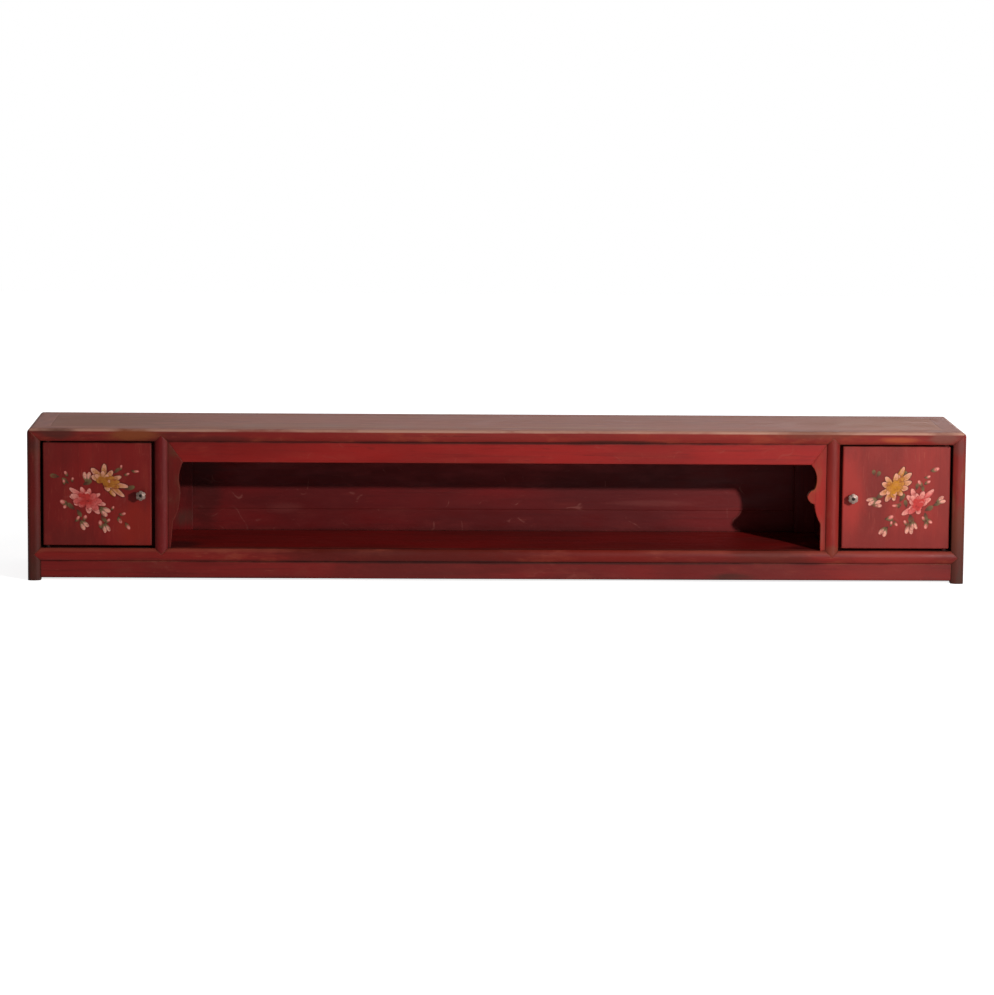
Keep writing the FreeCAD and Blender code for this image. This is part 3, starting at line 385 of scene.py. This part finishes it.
def bareOneSide(tree, colour, bare, coords, facing, finish):
    outward = addNode(tree, "VectorMath", {0: coords, 1: facing}, operation="DOT_PRODUCT")
    reach = mm(lacquerSizes["sideReach"]) * finish["bareSide"]
    side = addNode(tree, "MapRange", {0: outward.outputs["Value"], 1: 0, 2: -reach})
    return addNode(tree, "Mix", {0: side, 6: colour, 7: bare}, data_type="RGBA").outputs[2]


def brushedLacquer(name, finish, axis):
    material, tree = newMaterial(name)
    sizes, layers = lacquerSizes, lacquerLayers
    place = addNode(tree, "TexCoord")
    coords, facing = place.outputs["Object"], place.outputs["Normal"]
    grain = patternNoise(tree, coords, spansAlong(axis, "grain", sizes), detail=4)
    pores = patternNoise(tree, coords, spansAlong(axis, "pore", sizes), detail=2)
    cloud = patternNoise(tree, coords, spansAlong(axis, "cloud", sizes), detail=2)
    smudge = patternNoise(tree, coords, spansAlong(axis, "smudge", sizes), detail=4, roughness=0.62)
    chips = patternNoise(tree, coords, [sizes["chipSize"]] * 3, roughness=0.6)

    frayedCover = {}
    for kind, (start, full, least) in frayedLayers.items():
        most = finish[kind]
        frayedCover[kind] = addNode(tree, "MapRange", {
            0: smudge, 1: start, 2: full, 3: most * least, 4: most,
        }, **soft)
    colour = coatOver(tree, linearColour(finish["fresh"]), [
        (cloud, layers["clouds"], finish["clouds"], finish["deep"]),
        (grain, layers["grain"], finish["grain"], finish["deep"]),
        (smudge, layers["fade"], finish["fade"], finish["faded"]),
        (pores, layers["pores"], finish["grain"], finish["deep"]),
        (pores, layers["scuffs"], finish["scuffs"], finish["scuff"]),
        (scratchLines(tree, coords), layers["scratches"], frayedCover["scratches"], finish["scratch"]),
    ])

    # sharp edges show in the bevel's normal, rounded ones by looking half up (wear and a painted
    # highlight)
    rounded = addNode(tree, "Bevel", {"Radius": mm(sizes["edgeReach"])}, samples=4)
    flat = addNode(tree, "NewGeometry").outputs["Normal"]
    turn = addNode(tree, "VectorMath", {0: rounded, 1: flat}, operation="DOT_PRODUCT")
    upward = addNode(tree, "SeparateXYZ", {0: facing}).outputs["Z"]
    start, full = layers["notFlat"]
    rubbedAndLit = addNode(tree, "MapRange", {
        0: upward, 1: start, 2: full, 4: frayedCover["arrisWear"],
    }, **soft)
    # the ambient occlusion darkens corners and joints: dirt, and a painted shade
    corner = addNode(tree, "AmbientOcclusion", {"Distance": mm(sizes["cornerDirtAndShadeReach"])}, samples=4)
    corner = corner.outputs["AO"]
    colour = coatOver(tree, colour, [
        (turn.outputs["Value"], layers["edge"], frayedCover["edgeWear"], finish["edge"]),
        (upward, layers["dustAndSheen"], frayedCover["dustAndSheenShare"], finish["dustAndSheen"]),
        (upward, layers["arris"], rubbedAndLit, finish["arris"]),
        (corner, layers["corner"], frayedCover["cornerDirtAndShade"], finish["corner"]),
    ])

    colour = frayedPatches(tree, colour, coords, smudge, finish)
    if finish["footGrime"]:
        level = addNode(tree, "SeparateXYZ", {0: coords}).outputs["Z"]
        colour = coatOver(tree, colour, [
            (level, layers["foot"], frayedCover["footGrime"], finish["foot"]),
        ])
    if finish["bareSide"]:
        bare = softwoodColour(tree, uncoatedSide, grain, cloud)
        colour = bareOneSide(tree, colour, bare, coords, facing, finish)

    sheen = smudgedSheen(tree, smudge, layers["sheen"], finish)
    start, full = layers["dull"]
    dirt = addNode(tree, "MapRange", {0: corner, 1: start, 2: full, 3: 1, 4: 0})
    dull = addNode(tree, "Math", {0: sheen, 1: dirt}, operation="MAXIMUM")  # dirt doesn't shine
    relief = addNode(tree, "Math", {0: grain, 1: chips}, operation="ADD")
    bump = addNode(tree, "Bump", {
        "Strength": finish["relief"], "Distance": mm(sizes["brushDepth"]),
        "Height": relief, "Normal": rounded,
    })
    finishMaterial(tree, colour, dull, bump)
    return material


# White brass, cast and dull from handling, with dirt in its hollows
castLook = {
    "bright": "#a88e82",
    "dull": "#5c4a43",
    "spot": 1.6,  # size of the dull spots in mm
    "cover": (0.4, 0.66),
    "sheen": (0.35, 0.7),
    "roughness": 0.55,
    "smootherBy": 0.1,
    "rougherBy": 0.15,
    "pitting": 0.3,
    "pitDepth": 0.2,
    "metallic": 0.6,
    "specular": 0.5,
}
# Iron, forged and gone brown, with hardly any shine left
forgedLook = dict(
    castLook, bright="#3a2f2a", dull="#1d1613", spot=1.2, roughness=0.6, metallic=0.8)


def agedMetal(name, look):
    material, tree = newMaterial(name)
    coords = addNode(tree, "TexCoord").outputs["Object"]
    spots = patternNoise(tree, coords, [look["spot"]] * 3)
    colour = coatOver(tree, linearColour(look["bright"]), [(spots, look["cover"], 1, look["dull"])])
    sheen = smudgedSheen(tree, spots, look["sheen"], look)
    bump = addNode(tree, "Bump", {
        "Strength": look["pitting"], "Distance": mm(look["pitDepth"]), "Height": spots,
    })
    finishMaterial(tree, colour, sheen, bump, look["specular"], look["metallic"])
    return material


def sideNames(*names):
    return [f"{side}_{name}" for side in ("left", "right") for name in names]


lacquered = [  # what the coat is on, its finish, the way its grain runs, the nodes
    ("TopRail", topRailFinish, "x", ["top_front_rail", "top_rear_rail"]),
    ("BottomRail", bottomRailFinish, "x", ["bottom_front_rail", "bottom_rear_rail"]),
    ("SideTopRail", dustAndSheenTop, "y", sideNames("top_rail")),
    ("SideBottomRail", frameFinish, "y", sideNames("bottom_rail")),
    ("ShadedLeftPost", shadedLeftPostFinish, "z", ["left_front_post", "left_rear_post"]),
    ("LitRightPost", litRightPostFinish, "z", ["right_front_post", "right_rear_post"]),
    ("ShadedLeftInnerPost", shadedLeftInnerPostFinish, "z", ["left_inner_post"]),
    ("LitRightInnerPost", litRightInnerPostFinish, "z", ["right_inner_post"]),
    ("FrontBase", baseFinish, "x", ["front_base_apron"]),
    ("SideBase", baseFinish, "y", sideNames("base_apron")),
    ("Apron", apronFinish, "x", ["niche_apron"]),
    ("ShadedLeftBracket", shadedLeftBracketFinish, "z", ["niche_left_bracket"]),
    ("LitRightBracket", litRightBracketFinish, "z", ["niche_right_bracket"]),
    ("Top", topFinish, "x", ["top_front_board", "top_rear_board"]),
    ("End", endFinish, "y", sideNames("end_panel")),
    ("ShadedLeftDoor", shadedLeftDoorFinish, "z", ["left_door_board"]),
    ("LitRightDoor", litRightDoorFinish, "z", ["right_door_board"]),
    ("Floor", floorFinish, "x", ["floor_front_board", "floor_rear_board"]),
    ("Back", backFinish, "x", [
        "niche_back_lower_board", "niche_back_upper_board", *sideNames("back_board"),
    ]),
    ("Stile", stileFinish, "z", sideNames("rear_stile")),
    ("Inner", innerFinish, "z", sideNames("partition", "door_stop")),
]
bearers = [
    f"{kind}_{place}_{side}"
    for kind in ("top_batten", "floor_bearer")
    for place in ("inner", "outer")
    for side in ("left", "right")
]


def dress(names, material):
    for name in names:
        for part in nodes[name].material_slots:
            part.material = material


for place, finish, axis, names in lacquered:
    dress(names, brushedLacquer(f"brushedLacquer{place}", finish, axis))
dress(bearers, planedSoftwood("planedSoftwoodDeep", "y"))
doorBattens = sideNames("door_upper_batten", "door_lower_batten")
dress(doorBattens, planedSoftwood("planedSoftwoodAcross", "x"))
dress(sideNames("knob"), agedMetal("castWhiteBrass", castLook))
dress(sideNames("knob_screw", "knob_washer"), agedMetal("forgedIron", forgedLook))
print("materials on the nodes")


# The flower sprays are brushed on each door in teardrop strokes that point at the middle
# of their bloom. Places are in mm from the lower left corner of the door's face, angles in degrees.
sprayPaint = {
    "seed": 7,
    "doorFoot": 71.5,  # height of the doors' lower edge
    "blush": "#dc9284",
    "coral": "#b4322d",
    "rose": "#c9605a",
    "cream": "#d8977c",
    "ochre": "#b2720a",
    "umber": "#a2621c",
    "amber": "#b4722e",
    "shade": "#4c1c10",
    "garnet": "#7c201c",
    "leaf": "#4e2c1e",
    "moss": "#6a5a38",
    "film": 0.12,  # thickness of one stroke
    "layer": 0.006,  # each stroke stands this much above the one before
    "blendFrom": 0.35,  # the root's colour turns to the tip's about the middle of a stroke
    "blendRise": 1.4,
    "sway": 7,  # how far the brush strays, in degrees
}
bloomPaint = {
    "petalWidth": 11,
    "widthStray": (0.85, 1.1),
    "petalTip": 5,  # how far a petal runs past its marked place
    "petalRoot": 0.1,  # where it starts, as a share of the way from the middle
    "lightShare": 0.62,  # the pale stroke on a petal, as a share of its length and width
    "lightBack": 2.2,  # its middle lies behind the tip by its length divided by this
    "outerLine": 2,  # the dark stroke under an outer petal is this much longer and wider
    "innerLine": 1.8,
    "innerWidth": 14.5,  # times the bloom's fill
    "innerPlace": 0.6,  # of the way to the tip
    "innerTurn": (1, 3),  # times the sway, so that inner petals lie between the outer ones
    "heartTurn": 3,  # times the sway
    "heartLength": 16,
    "heartWidth": 9,
}
budPaint = {
    "growth": 1.3,  # painted this much larger than marked
    "calyxBack": 0.35,  # the calyx lies behind by this share of the marked length
    "calyxStray": 30,
    "calyxShare": 0.8,  # of the bud's length and width
    "twinFrom": 13,  # buds this long are two slim strokes that part at the tip
    "twinLean": 11,
    "twinWidth": 0.66,
    "twinGap": 0.4,
    "singleWidth": 0.8,
    "lightAhead": 0.125,
    "lightShare": 0.6,
}
coralBloom = {"tip": "blush", "mid": "rose", "heart": "coral", "outlined": False}
goldenBloom = {"tip": "cream", "mid": "amber", "heart": "ochre", "outlined": True}
leftSpray = {
    "blooms": [
        dict(coralBloom, middle=(90, 90), spread=0.38, fill=0.82, petals=[
            (59, 115), (59, 98), (79, 114), (93, 111), (111, 103), (122, 85), (111, 68), (93, 70),
            (68, 85),
        ]),
        dict(goldenBloom, heart="umber", middle=(124, 130), spread=0.2, fill=0.64, petals=[
            (102, 154), (123, 161), (138, 148), (154, 138), (103, 139), (144, 105), (161, 103),
            (167, 119), (131, 115), (141, 128),
        ]),
    ],
    "buds": [  # place, angle of the tip, length, width
        ((89, 139), 90, 16, 10), ((42, 87), 150, 13, 9), ((45, 80), 250, 9, 7),
        ((70, 54), 60, 10, 6), ((85, 56), 70, 9, 7), ((82, 42), 310, 15, 10),
        ((124, 70), 325, 17, 11), ((116, 43), 100, 13, 8), ((127, 36), 290, 15, 9),
        ((131, 50), 40, 9, 6), ((161, 64), 15, 10, 6), ((155, 51), 300, 11, 7),
        ((171, 39), 305, 12, 7), ((141, 76), 60, 7, 5), ((170, 145), 20, 8, 5),
        ((187, 151), 0, 11, 5), ((158, 159), 80, 8, 5), ((60, 134), 80, 7, 5),
        ((47, 146), 120, 9, 6), ((43, 129), 100, 8, 5),
    ],
    "leaves": [
        ((24, 141), 170, 20, 9), ((46, 131), 140, 18, 8), ((90, 128), 30, 20, 11),
        ((57, 79), 140, 20, 9), ((73, 66), 300, 18, 8), ((122, 55), 300, 16, 9),
        ((149, 152), 40, 18, 7), ((175, 117), 15, 22, 9),
    ],
}
rightSpray = {
    "blooms": [
        dict(goldenBloom, middle=(106, 123), spread=0.2, fill=0.66, petals=[
            (91, 143), (85, 131), (123, 163), (136, 152), (113, 146), (136, 136), (81, 113),
            (91, 101), (129, 124), (119, 113), (105, 103),
        ]),
        dict(coralBloom, middle=(155, 88), spread=0.24, fill=0.7, petals=[
            (136, 106), (143, 118), (151, 108), (164, 113), (182, 119), (176, 101), (126, 73),
            (141, 83), (169, 93), (156, 76),
        ]),
    ],
    "buds": [
        ((189, 162), 20, 13, 8), ((174, 147), 20, 9, 5), ((174, 136), 30, 10, 6),
        ((158, 134), 120, 11, 7), ((201, 99), 25, 14, 9), ((71, 91), 10, 15, 9),
        ((61, 98), 205, 16, 9), ((110, 88), 180, 12, 6), ((98, 63), 30, 13, 8),
        ((101, 51), 80, 8, 5), ((110, 51), 310, 9, 6), ((86, 35), 240, 15, 10),
        ((138, 41), 265, 17, 10), ((147, 48), 280, 14, 8), ((130, 53), 120, 9, 6),
        ((167, 61), 120, 9, 6), ((172, 48), 260, 12, 8), ((179, 56), 330, 10, 7),
    ],
    "leaves": [
        ((64, 155), 100, 12, 8), ((73, 152), 60, 14, 8), ((76, 107), 30, 20, 9),
        ((163, 126), 290, 16, 7), ((177, 82), 30, 20, 10), ((141, 61), 280, 20, 12),
        ((192, 91), 20, 16, 7), ((171, 66), 280, 17, 9), ((101, 57), 70, 12, 7),
        ((126, 152), 60, 16, 8), ((117, 88), 70, 12, 7), ((122, 104), 60, 20, 9),
        ((130, 92), 100, 16, 8), ((152, 127), 80, 14, 7),
    ],
}
strokeShape = {"points": 20, "rootWidth": 0.35, "bluntness": 0.78, "inset": 0.3}


def deselectAll():
    if bpy.context.object and bpy.context.object.mode != "OBJECT":
        bpy.ops.object.mode_set(mode="OBJECT")
    bpy.ops.object.select_all(action="DESELECT")


def firstStroke():  # a teardrop 1 long and 1 wide, its tip at +x, lying in x and z
    deselectAll()
    bpy.ops.mesh.primitive_circle_add(
        vertices=strokeShape["points"], radius=0.5, fill_type="NGON", rotation=(math.pi / 2, 0, 0))
    stroke = bpy.context.object
    bpy.ops.object.transform_apply(location=True, rotation=True, scale=True)
    for corner in stroke.data.vertices:
        towardsRoot = max(0.0, -corner.co.x * 2)
        corner.co.z *= 1 - (1 - strokeShape["rootWidth"]) * towardsRoot
        if corner.co.x >= 0:
            corner.co.x = (corner.co.x * 2) ** strokeShape["bluntness"] / 2
    bpy.ops.object.mode_set(mode="EDIT")
    bpy.ops.mesh.select_all(action="SELECT")
    bpy.ops.mesh.extrude_region_move(TRANSFORM_OT_translate={"value": (0, -1, 0)})
    bpy.ops.mesh.inset(thickness=strokeShape["inset"] / 2, depth=0)
    bpy.ops.mesh.select_all(action="SELECT")
    bpy.ops.mesh.normals_make_consistent(inside=False)
    bpy.ops.object.mode_set(mode="OBJECT")
    return stroke


def paintStroke(pattern, corner, order, middle, angle, length, width, tip, root):
    stroke = bpy.data.objects.new("stroke", pattern.data.copy())
    bpy.context.collection.objects.link(stroke)
    paint = stroke.data.color_attributes.new("paint", "FLOAT_COLOR", "POINT")
    ends = [linearColour(sprayPaint[name]) for name in (root, tip)]
    for point, colour in zip(stroke.data.vertices, paint.data):
        share = min(1, max(0, point.co.x * sprayPaint["blendRise"] + sprayPaint["blendFrom"]))
        colour.color = [a + (b - a) * share for a, b in zip(*ends)]
    rise = mm(sprayPaint["film"] + order * sprayPaint["layer"])
    size = Matrix.Diagonal((mm(length), rise, mm(width), 1))
    place = Vector((corner.x + mm(middle[0]), corner.y, corner.z + mm(middle[1])))
    turn = Matrix.Rotation(-math.radians(angle), 4, "Y")
    stroke.data.transform(Matrix.Translation(place) @ turn @ size)
    return stroke


def heading(angle):
    return Vector((math.cos(math.radians(angle)), math.sin(math.radians(angle))))


def angleOf(reach):
    return math.degrees(math.atan2(reach.y, reach.x))


# Each stroke is its middle, angle, length, width and the colours of its tip and root
def budStrokes(brush, middle, angle, length, width):
    look, middle = budPaint, Vector(middle)
    ahead = heading(angle) * length
    twin = length > look["twinFrom"]
    length, width = length * look["growth"], width * look["growth"]
    stray = brush.uniform(-look["calyxStray"], look["calyxStray"])
    strokes = [(middle - ahead * look["calyxBack"], angle + stray,
                length * look["calyxShare"], width * look["calyxShare"], "moss", "leaf")]
    width *= look["twinWidth"] if twin else look["singleWidth"]
    pale, palest = ("blush", "cream") if twin else ("rose", "blush")
    for lean in (-1, 1) if twin else (0,):
        turned = angle + lean * look["twinLean"]
        place = middle + heading(angle + 90) * lean * width * look["twinGap"]
        strokes.append((place, turned, length, width, pale, "moss"))
        strokes.append((place + ahead * look["lightAhead"], turned,
                        length * look["lightShare"], width * look["lightShare"], palest, pale))
    return strokes


def bloomStrokes(brush, bloom):
    look, sway, strokes = bloomPaint, sprayPaint["sway"], []
    heart = Vector(bloom["middle"])
    tip, mid, core = bloom["tip"], bloom["mid"], bloom["heart"]
    line, every = ("shade", 2) if bloom["outlined"] else ("garnet", 1)
    reaches = [Vector(petal) - heart for petal in bloom["petals"]]
    for reach in reaches:
        start = reach * look["petalRoot"]
        stop = reach.normalized() * (reach.length + look["petalTip"])
        middle = heart + (start + stop) / 2
        angle = angleOf(reach) + brush.uniform(-1, 1) * sway
        length = (stop - start).length
        width = look["petalWidth"] * brush.uniform(*look["widthStray"])
        if bloom["outlined"]:
            rim = look["outerLine"]
            strokes.append((middle, angle, length + rim, width + rim, line, line))
        strokes.append((middle, angle, length, width, brush.choice([tip, "blush", mid]), core))
        light = look["lightShare"]
        middle = heart + stop * (1 - light / look["lightBack"])
        strokes.append((middle, angle, length * light, width * light, tip, mid))
    for reach in reaches:
        turn = Matrix.Rotation(math.radians(brush.uniform(*look["innerTurn"]) * sway), 2)
        reach = turn @ reach * bloom["fill"]
        middle, angle = heart + reach * look["innerPlace"], angleOf(reach)
        length, width, rim = reach.length, look["innerWidth"] * bloom["fill"], look["innerLine"]
        strokes.append((middle, angle, length + rim / 2, width + rim, line, core))
        strokes.append((middle, angle, length, width, brush.choice([tip, mid]), core))
    for reach in reaches[::every]:
        angle = angleOf(reach) + brush.uniform(-look["heartTurn"], look["heartTurn"]) * sway
        strokes.append((heart + reach * bloom["spread"], angle, look["heartLength"],
                        look["heartWidth"], brush.choice([core, core, mid]), core))
    return strokes


def paintSpray(side, spray):
    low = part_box(f"{side}_door_board")[0]
    corner = Vector((low.x, low.y, mm(sprayPaint["doorFoot"])))
    pattern = firstStroke()
    brush = random.Random(sprayPaint["seed"])
    strokes = [(*leaf, "moss", "leaf") for leaf in spray["leaves"]]
    for bud in spray["buds"]:
        strokes += budStrokes(brush, *bud)
    for bloom in spray["blooms"]:
        strokes += bloomStrokes(brush, bloom)
    made = [paintStroke(pattern, corner, order, *stroke) for order, stroke in enumerate(strokes)]
    bpy.data.objects.remove(pattern)
    deselectAll()
    for stroke in made:
        stroke.select_set(True)
    bpy.context.view_layer.objects.active = made[0]
    bpy.ops.object.join()
    painting = bpy.context.object
    painting.name = f"{side}_flower_spray"
    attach(painting, f"{side}_door")
    return painting


# Tempera, brushed in short strokes under a thin varnish: matt, streaked by the bristles and
# rubbed through to the red in places
temperaLook = {
    "rubSize": 7,
    "rubFrom": (0.5, 0.72),
    "rubCover": 0.6,
    "bristleSize": 3,  # drawn coarse, to show in the render
    "bristleFrom": (0.45, 0.7),
    "bristleCover": 0.25,
    "strokeMarks": 0.3,
    "markDepth": 0.2,
    "roughness": 0.5,
}


def brushedTempera(name):
    material, tree = newMaterial(name)
    look = temperaLook
    coords = addNode(tree, "TexCoord").outputs["Object"]
    paint = addNode(tree, "Attribute", attribute_name="paint").outputs["Color"]
    rubbed = patternNoise(tree, coords, [look["rubSize"]] * 3, roughness=0.6)
    bristle = patternNoise(tree, coords, [look["bristleSize"]] * 3, detail=2)
    colour = coatOver(tree, paint, [
        (rubbed, look["rubFrom"], look["rubCover"], shadedLeftDoorFinish["fresh"]),
        (bristle, look["bristleFrom"], look["bristleCover"], shadedLeftDoorFinish["deep"]),
    ])
    bump = addNode(tree, "Bump", {
        "Strength": look["strokeMarks"], "Distance": mm(look["markDepth"]), "Height": bristle,
    })
    finishMaterial(tree, colour, look["roughness"], bump)
    return material


paintedFlowers = brushedTempera("brushedTempera")
for side, spray in (("left", leftSpray), ("right", rightSpray)):
    painting = paintSpray(side, spray)
    painting.data.materials.clear()
    painting.data.materials.append(paintedFlowers)
print("flower sprays painted")


# The room: a pale floor, one fairly small lamp from the right front and a weak fill
room = {
    "floorSize": 14,
    "floor": "#f2f2f2",
    "white": (1, 1, 1, 1),
    "lampPlace": (1.88, -2.78, 1.085),
    "lampTarget": (0, -0.15, 0.15),
    "lampWidth": 0.09,
    "lampPower": 94,
    "fill": 0.19,
    "glowNear": 0.82,  # the floor's own brightness round the cabinet, as the camera sees it
    "glowReach": (1.1, 2),  # it rises to white between these distances
    "roomDim": 0.05,  # what gloss sees in front of the cabinet
    "floorDepth": (-0.4, 0.2),  # the floor brightens for gloss from front to back
    "skyDepth": (-0.2, 0.3),  # and so does the world
    "leftDim": 0.26,  # what gloss sees behind it on the left, away from the lamp
    "rightGlow": 3,  # and on the right
    "skyAcross": (-0.12, 0.2),
}


def buildFloor():
    deselectAll()
    bpy.ops.mesh.primitive_plane_add(size=room["floorSize"], location=(0, 0, 0))
    floor = bpy.context.object
    floor.name = "paleFloor"
    material, tree = newMaterial("paleFloor")
    rays = addNode(tree, "LightPath").outputs
    coords = addNode(tree, "TexCoord").outputs["Object"]
    away = addNode(tree, "VectorMath", {0: coords}, operation="LENGTH").outputs["Value"]
    start, full = room["glowReach"]
    nearness = addNode(tree, "MapRange", {0: away, 1: start, 2: full, 3: room["glowNear"], 4: 1})
    behind = addNode(tree, "SeparateXYZ", {0: coords}).outputs["Y"]
    start, full = room["floorDepth"]
    dimmed = addNode(tree, "MapRange", {
        0: behind, 1: start, 2: full, 3: room["roomDim"], 4: room["glowNear"],
    })
    # the glow shows to the camera and in gloss alone, so the floor lights nothing more
    strength = addNode(tree, "Mix", {0: rays["Is Camera Ray"], 2: dimmed, 3: nearness})
    glow = addNode(tree, "Emission", {"Color": room["white"], "Strength": strength})
    diffuse = addNode(tree, "BsdfDiffuse", {"Color": linearColour(room["floor"])})
    both = addNode(tree, "AddShader", {0: diffuse, 1: glow})
    seen = rays["Is Camera Ray"]
    for ray in ("Is Glossy Ray", "Is Transmission Ray"):
        seen = addNode(tree, "Math", {0: seen, 1: rays[ray]}, operation="MAXIMUM")
    mixed = addNode(tree, "MixShader", {0: seen, 1: diffuse, 2: both})
    addNode(tree, "OutputMaterial", {"Surface": mixed})
    floor.data.materials.append(material)


def buildLamp():
    lamp = bpy.data.lights.new("keyLamp", "AREA")
    lamp.shape = "DISK"
    lamp.size = room["lampWidth"]
    lamp.energy = room["lampPower"]
    holder = bpy.data.objects.new("keyLamp", lamp)
    bpy.context.scene.collection.objects.link(holder)
    aim = Vector(room["lampTarget"]) - Vector(room["lampPlace"])
    turn = aim.to_track_quat("-Z", "Y").to_matrix().to_4x4()
    holder.matrix_world = Matrix.Translation(room["lampPlace"]) @ turn


def buildWorld():
    world = bpy.data.worlds.new("studio")
    bpy.context.scene.world = world
    world.use_nodes = True
    tree = world.node_tree
    tree.nodes.clear()
    rays = addNode(tree, "LightPath").outputs
    coords = addNode(tree, "TexCoord").outputs["Generated"]
    direction = addNode(tree, "SeparateXYZ", {0: coords}).outputs
    start, full = room["skyDepth"]
    behind = addNode(tree, "MapRange", {
        0: direction["Y"], 1: start, 2: full, 3: room["roomDim"], 4: 1,
    })
    start, full = room["skyAcross"]
    across = addNode(tree, "MapRange", {
        0: direction["X"], 1: start, 2: full, 3: room["leftDim"], 4: room["rightGlow"],
    })
    mirrored = addNode(tree, "Math", {0: behind, 1: across}, operation="MULTIPLY")
    sharp = addNode(tree, "Math", {
        0: rays["Is Glossy Ray"], 1: rays["Is Transmission Ray"],
    }, operation="MAXIMUM")
    strength = addNode(tree, "Mix", {0: sharp, 2: room["fill"], 3: mirrored})
    strength = addNode(tree, "Mix", {0: rays["Is Camera Ray"], 2: strength, 3: 1})
    back = addNode(tree, "Background", {"Color": room["white"], "Strength": strength})
    addNode(tree, "OutputWorld", {"Surface": back})


# The camera as the photograph's perspective gives it, in metres, degrees and millimetres
view = {
    "place": (-0.2193, -8.0241, 1.2286),
    "yaw": 1.5823,  # towards +x
    "pitch": 7.6224,  # down
    "roll": -0.4657,
    "lens": 142.346,
    "sensor": 36,
}


def buildCamera():
    camera = bpy.data.cameras.new("camera")
    camera.lens = view["lens"]
    camera.sensor_width = view["sensor"]
    camera.sensor_fit = "HORIZONTAL"
    holder = bpy.data.objects.new("camera", camera)
    bpy.context.scene.collection.objects.link(holder)
    yaw, pitch, roll = (math.radians(view[key]) for key in ("yaw", "pitch", "roll"))
    level = math.cos(pitch)
    ahead = Vector((math.sin(yaw) * level, math.cos(yaw) * level, -math.sin(pitch)))
    right = Vector((math.cos(yaw), -math.sin(yaw), 0))
    up = right.cross(ahead)
    across = right * math.cos(roll) - up * math.sin(roll)
    upright = right * math.sin(roll) + up * math.cos(roll)
    turn = Matrix((across, upright, -ahead)).transposed().to_4x4()
    holder.matrix_world = Matrix.Translation(view["place"]) @ turn
    bpy.context.scene.camera = holder


buildFloor()
buildLamp()
buildWorld()
buildCamera()
bpy.context.scene.view_settings.view_transform = "Standard"
print("room, light and camera set")
